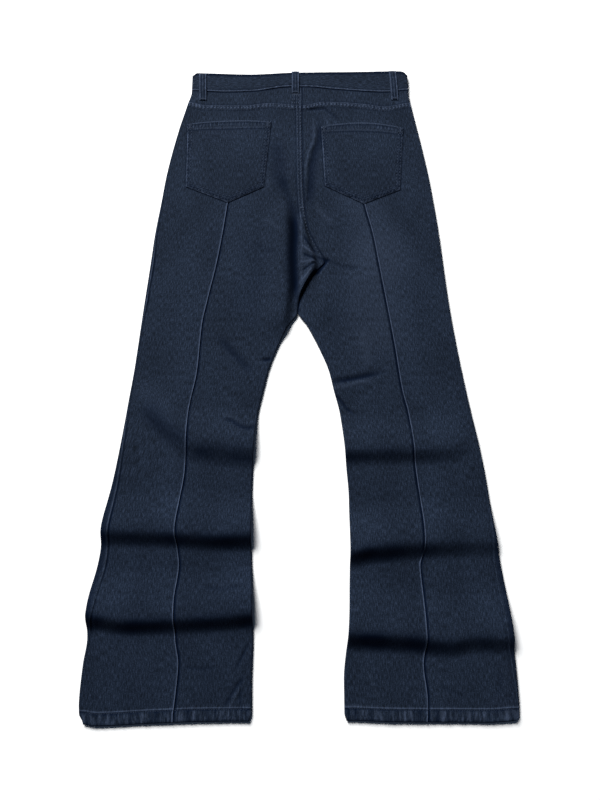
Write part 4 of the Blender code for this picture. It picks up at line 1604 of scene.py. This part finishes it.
@dataclass
class Waistband:
    """The flattened ring of double cloth whose ends meet under the middle, at the fly."""

    left: HalfForm
    right: HalfForm
    finishes: Finishes
    step: float = 2.6
    edge_row: float = 2.2
    stitch: Stitch = Stitch(pitch=5.4, length=3.4, thick=0.8)
    shares: tuple[float, ...] = (
        0.0, 0.015, 0.035, 0.055, 0.08, 0.12, 0.2, 0.3, 0.4, 0.5,
        0.6, 0.7, 0.8, 0.88, 0.92, 0.945, 0.965, 0.985, 1.0,
    )

    def half_ring(self, form: HalfForm) -> list[tuple[float, float, int]]:
        """The ring's places on one half, from the fly under it, round the edge and over it.

        Args:
            form: the half.

        Returns:
            A list of x before the curl, the angle round the curl, and the side.
        """
        sign = form.sign
        outer = form.outer(WAIST_Y) - sign * BAND_RADIUS
        across = steps(outer, sign * 1.2, round(abs(outer) / self.step))[1:]
        under = [(sign * BAND_END_GAP / 2, -QUARTER, 0)]
        under += [(x, -QUARTER, 0) for x in reversed(across[:-1])]
        curl = [(outer, QUARTER * turn / 5, sign) for turn in range(-5, 6)]
        return under + curl + [(x, QUARTER, 0) for x in across]

    def relief(self, x: float, up: float, height: float) -> float:
        """The band's stitched edges and its slight puckers.

        Args:
            x: place across the garment.
            up: distance from the band's lower edge.
            height: the band's height there.

        Returns:
            The height over the plain band.
        """
        below_top = height - up
        relief = clouds(BAND_WAVES, x, up) - 0.35 * bell((up - self.edge_row) / 1.5)
        relief -= 0.3 * bell((below_top - self.edge_row) / 1.5)
        return relief - 0.5 * near(up, 1.0) - 0.9 * near(below_top, 1.8)

    def face(self, x: float, y: float) -> float:
        """The height of the band's upper face."""
        low = waist_seam(x)
        return WAIST_LIFT + BAND_HEIGHT + self.relief(x, y - low, waist_top(x) - low)

    def under_face(self, x: float, y: float) -> float:
        """The height of the band's lower face."""
        return 2 * WAIST_LIFT + BAND_HEIGHT - self.face(x, y)

    def wear(self, x: float, up: float, height: float) -> float:
        """Rubbing along the band's lower edge, patchy where the cloth puckers, with painted shade in a line
        above it and along the top edge.

        Args:
            x: place across the garment.
            up: distance from the lower edge.
            height: the band's height.

        Returns:
            The share of rubbing and painted shade.
        """
        # A pale rubbed line by the lower edge, painted shade in a line above it and along the top edge
        edges = strips(BAND_WEAR_AND_SHADE, up) - 1.5 * bell((height - up - 2.8) / 4.2)
        return clamp(edges + BAND_PATCHES.at(x, up) * bell(up / 10))

    def make(self) -> None:
        """Build the band in denim."""
        ring = self.half_ring(self.right) + self.half_ring(self.left)[::-1]
        cloth = Cloth("waistband", len(self.shares), len(ring))
        half_height = BAND_HEIGHT / 2
        run, before = 0.0, None
        for column, (x, angle, sign) in enumerate(ring):
            out, up_turn = math.cos(angle), math.sin(angle)
            x += sign * BAND_RADIUS * out
            low = waist_seam(x) + SEAM_GAP / 2
            height = waist_top(x) - low
            here = Vector((x, 0, half_height * up_turn))
            run += (here - before).length if before is not None else 0.0
            before = here
            for row, share in enumerate(self.shares):
                up = height * share
                relief = self.relief(x, up, height) * up_turn**2 * (1 if angle > 0 else -1)
                point = Vector((x, low + up, WAIST_LIFT + half_height * (1 + up_turn) + relief))
                inward = Vector((-sign * out, 0, -up_turn)) * BAND_WALL
                cloth.put((row, column), point, inward, (up, run), self.wear(x, up, height))
        rests = ["yoke_left", "yoke_right", "belt_loop_front_left", "belt_loop_front_right"]
        cloth.make(self.finishes.denim, "denim_trim", rests)

    def sew(self) -> None:
        """Sew the band's lower and upper edges, on both faces."""
        work = Needlework("waistband", self.stitch)
        places = steps(self.left.outer(WAIST_Y) + 3.5, self.right.outer(WAIST_Y) - 3.5, 40)
        for edge, inset in ((waist_seam, self.edge_row), (waist_top, -self.edge_row)):
            path = [(x, edge(x) + inset) for x in places]
            work.row(path, self.face)
            work.row(path, self.under_face, under=True)
        work.make(self.finishes.thread)


@dataclass
class BackPocket:
    """A patch pocket with a pointed foot and a hemmed mouth, double stitched round its edge."""

    form: HalfForm
    finishes: Finishes
    rows_in: tuple[float, float] = (2.6, 8.2)
    mouth_rows: tuple[float, float] = (2.2, 10.4)
    stitch: Stitch = Stitch(pitch=6.2, length=3.8, thick=1.2)
    # Close rows and columns in from the edge, and down from the mouth
    close: tuple[float, ...] = (0, 0.7, 1.4, 2.1, 2.9, 3.7, 4.6, 5.9, 7.1, 8.2, 9.2, 10.4)
    mouth_close: tuple[float, ...] = (0, 0.8, 1.6, 2.4, 3.3, 4.2, 6, 8, 9.6, 10.4, 11.2, 12.0, 12.9, 14)
    # The slanting foot brings the edge nearer than the way down to it
    slant: float = 0.93

    def __post_init__(self) -> None:
        """Work out the pocket's own sizes."""
        patch = self.patch = self.form.pocket
        foot_width = patch.foot_right[0] - patch.foot_left[0]
        self.tip_share = (patch.foot_tip[0] - patch.foot_left[0]) / foot_width
        self.width = patch.mouth_right[0] - patch.mouth_left[0]
        self.depth = patch.mouth_left[1] - patch.foot_left[1]

    def sides(self, v: float) -> tuple[float, float]:
        """The x of the left and the right edge at this share of the way down."""
        patch = self.patch
        left = patch.mouth_left[0] * (1 - v) + patch.foot_left[0] * v
        return left, patch.mouth_right[0] * (1 - v) + patch.foot_right[0] * v

    def spot(self, u: float, v: float) -> tuple[float, float]:
        """A place on the pocket.

        Args:
            u: share of the way across.
            v: share of the way down.

        Returns:
            Its x and y.
        """
        patch = self.patch
        mouth = patch.mouth_left[1] * (1 - u) + patch.mouth_right[1] * u
        mouth += patch.mouth_rise * math.sin(math.pi * u)
        if u <= self.tip_share:
            foot = patch.foot_left[1] + (patch.foot_tip[1] - patch.foot_left[1]) * u / self.tip_share
        else:
            rest = (u - self.tip_share) / (1 - self.tip_share)
            foot = patch.foot_tip[1] + (patch.foot_right[1] - patch.foot_tip[1]) * rest
        left, right = self.sides(v)
        return left * (1 - u) + right * u, mouth * (1 - v) + foot * v

    def shares_at(self, x: float, y: float) -> tuple[float, float]:
        """Undo spot: the shares across and down at a place.

        Args:
            x: place across the garment.
            y: place along it.

        Returns:
            The shares u and v.
        """
        v = 0.5
        for _ in range(6):
            left, right = self.sides(v)
            u = min(max((x - left) / (right - left), 0.0), 1.0)
            top, bottom = self.spot(u, 0)[1], self.spot(u, 1)[1]
            v = min(max((top - y) / (top - bottom), 0.0), 1.0)
        return u, v

    def height(self, u: float, v: float) -> float:
        """The pocket's outer face over the panel under it.

        Args:
            u: share of the way across.
            v: share of the way down.

        Returns:
            The height from the surface.
        """
        x, y = self.spot(u, v)
        down = v * self.depth
        edge = min(min(u, 1 - u) * self.width, (1 - v) * self.depth * self.slant)
        height = self.form.back_face(x, y) + PATCH_CLEAR + PATCH_WALL
        height += POCKET_HEM_STEP * smooth_step((POCKET_HEM + 0.6 - down) / 1.4)
        height -= 0.6 * near(min(edge, down), 1.4)
        for off, rows in ((edge, self.rows_in), (down, self.mouth_rows)):
            height -= 0.34 * sum(bell((off - row) / 1.3) for row in rows)
        height += EDGE_GATHER.at(x, y) * bell(edge / 13)
        height += MOUTH_GATHER.at(x, y) * bell((down - 6) / 10)
        return height + 0.9 * smooth_step(edge / 30) * (0.6 + POCKET_BULGE.at(x, y))

    def face(self, x: float, y: float) -> float:
        """The height of the pocket's outer face at a place."""
        return self.height(*self.shares_at(x, y))

    def wear(self, u: float, v: float) -> float:
        """Rubbing on the pocket's edges and gathers, with painted shade in the lines of stitching and under
        the mouth's hem.

        Args:
            u: share of the way across.
            v: share of the way down.

        Returns:
            The share of rubbing and painted shade.
        """
        x, y = self.spot(u, v)
        edge = min(min(u, 1 - u) * self.width, (1 - v) * self.depth)
        down = v * self.depth
        wear = strips(POCKET_EDGE_WEAR_AND_SHADE, edge) + strips(POCKET_MOUTH_WEAR_AND_SHADE, down)
        wear += EDGE_PATCHES.at(x, y) * bell(edge / 12)
        beads = math.sin(math.tau * x / 6.2 + MOUTH_WANDER.at(x, y)) + MOUTH_BEADS.at(x, y)
        return clamp(wear + 0.45 * beads * bell((down - 5.5) / 6))

    def shares(self, size: float, marks: Sequence[float], middle: int) -> list[float]:
        """Close shares by an edge and even ones beyond it.

        Args:
            size: the length that the shares divide, in millimetres.
            marks: the close places, from the edge.
            middle: how many even ones follow them.

        Returns:
            The shares from 0 up to the even ones' end at 0.5.
        """
        first = [mark / size for mark in marks]
        return first + spread(first[-1], 0.5, middle) + [0.5]

    def make(self) -> None:
        """Build the pocket in denim."""
        side, tip = self.form.name, self.tip_share
        half = [share * 2 for share in self.shares(self.width, self.close, 22)]
        across = [share * tip for share in half] + [1 - share * (1 - tip) for share in half[-2::-1]]
        mouth = self.shares(self.depth, self.mouth_close, 18)
        foot = self.shares(self.depth, self.close, 18)
        up = [1 - share for share in foot] + mouth[-2::-1]
        cloth = Cloth(f"pocket_{side}", len(up), len(across))
        for row, v in enumerate(up):
            thick = PATCH_WALL + POCKET_HEM_STEP * (v * self.depth <= POCKET_HEM)
            for column, u in enumerate(across):
                x, y = self.spot(u, v)
                point = Vector((x, y, self.height(u, v)))
                grain = (x - self.patch.foot_tip[0] + POCKET_GRAIN_SHIFT, y)
                cloth.put((row, column), point, Vector((0, 0, -thick)), grain, self.wear(u, v))
        cloth.make(self.finishes.denim, "denim_trim", [f"back_outer_{side}", f"back_inner_{side}"])

    def sew(self) -> None:
        """Sew the two rows round the edge, the two rows of the mouth's hem and the corner tacks."""
        work = Needlework(f"pocket_{self.form.name}", self.stitch)
        top, tack_top, tack_in, tack_length = 0.004, 0.012, 4.8, 9
        for inset in self.rows_in:
            u, v = inset / self.width, 1 - inset / self.depth / self.slant
            corners = [(u, top), (u, v), (self.tip_share, v), (1 - u, v), (1 - u, top)]
            path = [self.spot(*corners[0])]
            for before, after in zip(corners, corners[1:]):
                across, down = (steps(a, b, 8)[1:] for a, b in zip(before, after))
                path += [self.spot(*at) for at in zip(across, down)]
            work.row(path, self.face)
        for inset in self.mouth_rows:
            work.row([self.spot(u, inset / self.depth) for u in steps(0, 1, 16)], self.face)
        for u in (tack_in / self.width, 1 - tack_in / self.width):
            low = self.spot(u, tack_top + tack_length / self.depth)
            work.bar_tack(self.spot(u, tack_top), low, self.face)
        work.make(self.finishes.thread)


@dataclass
class BeltLoop:
    """A belt loop, folded from a strip and stitched down both sides, tacked at head and foot."""

    name: str
    head: tuple[float, float]
    foot: tuple[float, float]
    finishes: Finishes
    under: bool = False
    row_in: float = 2.4
    rows: int = 30
    stitch: Stitch = Stitch(pitch=4.8, length=3.0, thick=0.9)
    across: tuple[float, ...] = (
        -1.0, -0.92, -0.8, -0.68, -0.55, -0.4, -0.2, 0.0, 0.2, 0.4, 0.55, 0.68, 0.8, 0.92, 1.0,
    )

    def centre(self, share: float) -> tuple[float, float]:
        """A point of the loop's middle line, from the foot up."""
        (foot_x, foot_y), (head_x, head_y) = self.foot, self.head
        return foot_x + (head_x - foot_x) * share, foot_y + (head_y - foot_y) * share

    def height(self, x: float, y: float) -> float:
        """The loop's outer face.

        Args:
            x: place across the garment.
            y: place along it.

        Returns:
            The height from the surface.
        """
        length = self.head[1] - self.foot[1]
        share = min(max((y - self.foot[1]) / length, 0.0), 1.0)
        off = abs(x - self.centre(share)[0])
        inside = LOOP_WIDTH / 2 - off
        relief = -0.4 * near(inside, 1.0) - 0.4 * bell((inside - self.row_in) / 1.4)
        relief += LOOP_WAVES.at(x, y) + 0.15 * bell(off / 2.4)
        relief -= 0.45 * near(min(share, 1 - share) * length, 1.5)
        if self.under:
            return -relief * 0.5
        yoke_face, band_face = WAIST_LIFT + TWO_LAYERS, WAIST_LIFT + BAND_HEIGHT
        risen = smooth_step((y - waist_seam(self.foot[0]) + LOOP_RAMP + 2) / LOOP_RAMP)
        z = yoke_face + (band_face - yoke_face) * risen + LOOP_BOW * math.sin(math.pi * share)
        return z + SEAM_GAP + LOOP_WALL + relief

    def make(self) -> None:
        """Build the loop in denim."""
        cloth = Cloth(self.name, self.rows, len(self.across))
        inward = Vector((0, 0, LOOP_WALL if self.under else -LOOP_WALL))
        for row, share in enumerate(steps(0, 1, self.rows - 1)):
            middle, y = self.centre(share)
            for column, part in enumerate(self.across):
                x = middle + part * LOOP_WIDTH / 2
                inside = LOOP_WIDTH / 2 * (1 - abs(part))
                # Pale rubbed folds, partly painted highlight, with painted shade in the grooves beside them
                wear = min(strips(LOOP_WEAR_AND_SHADE, inside) + LOOP_PATCHES.at(x, y), 1)
                cloth.put((row, column), Vector((x, y, self.height(x, y))), inward, (x, y), wear)
        cloth.make(self.finishes.denim, "denim_trim", ["floor"] if self.under else ["waistband"])

    def sew(self) -> None:
        """Sew both sides and tack both ends."""
        work = Needlework(self.name, self.stitch)
        side = LOOP_WIDTH / 2 - self.row_in
        for off in (-side, side):
            path = [(self.centre(share)[0] + off, self.centre(share)[1]) for share in (0.05, 0.5, 0.95)]
            work.row(path, self.height, under=self.under)
        if not self.under:
            for x, y in (self.centre(0.045), self.centre(0.955)):
                work.bar_tack((x - side, y), (x + side, y), self.height)
        work.make(self.finishes.thread)


@dataclass
class FlyButton:
    """The pressed button of the waistband, seen from below: a domed middle inside a raised rim."""

    finishes: Finishes
    segments: int = 40
    # The section from the middle out and back over the rim, as distance from the middle and height
    profile: Points = (
        (0.0, 0.35), (2.4, 0.4), (3.6, 0.6), (4.4, 0.55), (5.2, 0.2), (6.0, 0.02), (7.4, 0.0),
        (8.2, 0.18), (8.5, 0.6), (8.1, 1.1), (7.2, 1.2), (0.0, 1.2),
    )

    def make(self) -> None:
        """Turn the section round the button's axis."""
        shape = bmesh.new()
        points = [shape.verts.new((out * MILLIMETRE, 0, up * MILLIMETRE)) for out, up in self.profile]
        for before, after in zip(points, points[1:]):
            shape.edges.new((before, after))
        section = [*shape.verts, *shape.edges]
        turn = {"axis": (0, 0, 1), "cent": (0, 0, 0), "steps": self.segments, "angle": math.tau}
        bmesh.ops.spin(shape, geom=section, use_merge=True, **turn)
        bmesh.ops.remove_doubles(shape, verts=list(shape.verts), dist=0.00001)
        bmesh.ops.recalc_face_normals(shape, faces=list(shape.faces))
        middle = Vector((BUTTON_X, BUTTON_Y, 0)) * MILLIMETRE
        bmesh.ops.translate(shape, verts=list(shape.verts), vec=middle)
        piece = finish_mesh("brass_button", shape, self.finishes.brass)
        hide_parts("button")


@dataclass
class LegStitching:
    """The topstitching of one half: seat seam, yoke seam and hem."""

    form: HalfForm
    finishes: Finishes
    stitch: Stitch = Stitch()
    hem_stitch: Stitch = Stitch(pitch=3.6, length=3.0, thick=0.55)
    seat_tack_y: float = 280
    loop_tack_y: float = 509

    def line(self, low: float, high: float, step: float = 8.0) -> list[float]:
        """Even places between two ends, about a step apart."""
        return steps(low, high, max(round(abs(high - low) / step), 2))

    def under_face(self, x: float, y: float) -> float:
        """The height of the front's face, which looks down."""
        return self.form.lift(x, y) + self.form.front_relief(x, y)

    def make(self) -> None:
        """Sew the half."""
        form, sign = self.form, self.form.sign
        work = Needlework(f"leg_{form.name}", self.stitch)
        places = self.line(form.outer(YOKE_Y) - sign * 4, middle_line(YOKE_Y) + sign)
        for below in (1.7, 6.6):
            work.row([(x, yoke_seam(x) - below) for x in places], form.back_face)
        places = self.line(form.inner(HEM_Y) + sign * 3.5, form.outer(HEM_Y) - sign * 4.5)
        hem_row = [(x, form.hem(x) + HEM_ROW) for x in places]
        work.stitch = self.hem_stitch
        work.row(hem_row, form.back_face)
        work.row(hem_row, self.under_face, under=True)
        work.stitch = self.stitch
        if form.side is Side.LEFT:
            self.seat(work)
        work.make(self.finishes.thread)

    def seat(self, work: Needlework) -> None:
        """Sew the felled seat seam, its tack, and the close rows on the yoke under the middle loop.

        Args:
            work: the rows so far.
        """
        face, tack_y = self.form.back_face, self.seat_tack_y
        down, low = self.line(478, 282), self.line(279, 190, 5)
        for places, in_from_seam in ((down, 1.7), (down, SEAT_FELL - 1.5), (low, 1.6)):
            work.row([(middle_line(y) - in_from_seam, y) for y in places], face)
        middle = middle_line(tack_y)
        work.bar_tack((middle - 6.5, tack_y), (middle - 1.2, tack_y), face)
        for x in (-12.0, -8.4, -4.8, -1.2):
            work.row([(x, self.loop_tack_y), (x, 495), (x, yoke_seam(x) + 1)], face)
        work.bar_tack((-12, self.loop_tack_y), (-1, self.loop_tack_y), face)


@dataclass(frozen=True)
class Studio:
    """The camera where the photograph was taken from, a pale floor, and soft light from the waist end."""

    sensor: float = 36.0
    lens: float = 36 * 638 / 800
    camera_place: tuple[float, float, float] = (0.0015, -0.2992, 1.026)
    camera_tilt: float = 12.8
    light_place: tuple[float, float, float] = (-2.7, 4.7, 4.0)
    light_aim: tuple[float, float, float] = (0, -0.2, 0)
    light_size: float = 3.6
    light_power: float = 1200.0
    surround: float = 0.06
    sky: str = "#b4d2ff"
    floor_size: float = 6.0
    floor_drop: float = 0.0004

    def make(self) -> None:
        """Set up the camera, the floor and the light."""
        scene = bpy.context.scene
        lens = bpy.data.cameras.new("photo_camera")
        lens.sensor_width = self.sensor
        lens.sensor_fit = "AUTO"
        lens.lens = self.lens
        camera = add_object("photo_camera", lens)
        camera.location = self.camera_place
        camera.rotation_euler = (math.radians(self.camera_tilt), 0, 0)
        scene.camera = camera
        sheet = bmesh.new()
        bmesh.ops.create_grid(sheet, x_segments=1, y_segments=1, size=self.floor_size)
        bmesh.ops.translate(sheet, verts=list(sheet.verts), vec=(0, 0, -self.floor_drop))
        mesh = bpy.data.meshes.new("floor")
        sheet.to_mesh(mesh)
        sheet.free()
        mesh.materials.append(PaperBackdrop().material())
        add_object("floor", mesh)
        lamp = bpy.data.lights.new("soft_key", "AREA")
        lamp.shape = "SQUARE"
        lamp.size = self.light_size
        lamp.energy = self.light_power
        key = add_object("soft_key", lamp)
        key.location = self.light_place
        towards = Vector(self.light_aim) - Vector(self.light_place)
        key.rotation_euler = towards.to_track_quat("-Z", "Y").to_euler()
        scene.world = bpy.data.worlds.new("soft_surround")
        scene.world.use_nodes = True
        tree = scene.world.node_tree
        surround = {"Color": hex_colour(self.sky), "Strength": self.surround}
        feed(tree, tree.nodes["Background"], surround)
        scene.view_settings.view_transform = "Standard"
        log.info("set up the camera, the floor and the light")


def make_forms() -> tuple[HalfForm, HalfForm]:
    """Set out both halves.

    Returns:
        The wearer's left half and right half.
    """
    left = HalfForm(
        Side.LEFT, LEFT_SECTIONS, LEFT_INNER, LEFT_HEM, LEFT_FOLDS, LEFT_RISES, LEFT_CREASES, LEFT_POCKET,
        seam_lean=((WAIST_Y, 1.0), (HEM_Y, 1.0)),
        edge_shows=(0.25, 1.0),
        hem_painted_shade=0.16,
    )
    right = HalfForm(
        Side.RIGHT, RIGHT_SECTIONS, RIGHT_INNER, RIGHT_HEM, RIGHT_FOLDS, RIGHT_RISES, RIGHT_CREASES,
        RIGHT_POCKET,
        seam_lean=((WAIST_Y, 1.0), (-295, 1.0), (-325, 0.0), (HEM_Y, 0.0)),
        edge_shows=(0.2, 0.2),
        hem_painted_shade=0.08,
    )
    return left, right


def main() -> None:
    """Build the jeans and the studio round them."""
    logging.basicConfig(level=logging.INFO, format="%(message)s")
    Studio().make()
    finishes = Finishes(IndigoDenim().material(), ToneThread().material(), AgedBrass().material())
    left, right = make_forms()
    for form in (left, right):
        HalfPanels(form, finishes).make()
        LegStitching(form, finishes).make()
        x = form.sign * FRONT_LOOP_X
        head, foot = (x, FRONT_LOOP_HEAD_Y), (x, FRONT_LOOP_FOOT_Y)
        loop = BeltLoop(f"belt_loop_front_{form.name}", head, foot, finishes, under=True)
        for piece in (BackPocket(form, finishes), loop):
            piece.make()
            piece.sew()
    back_loops = [BeltLoop(name, head, foot, finishes) for name, head, foot in BACK_LOOPS]
    for piece in (Waistband(left, right, finishes), *back_loops):
        piece.make()
        piece.sew()
    FlyButton(finishes).make()


if __name__ == "__main__":
    main()
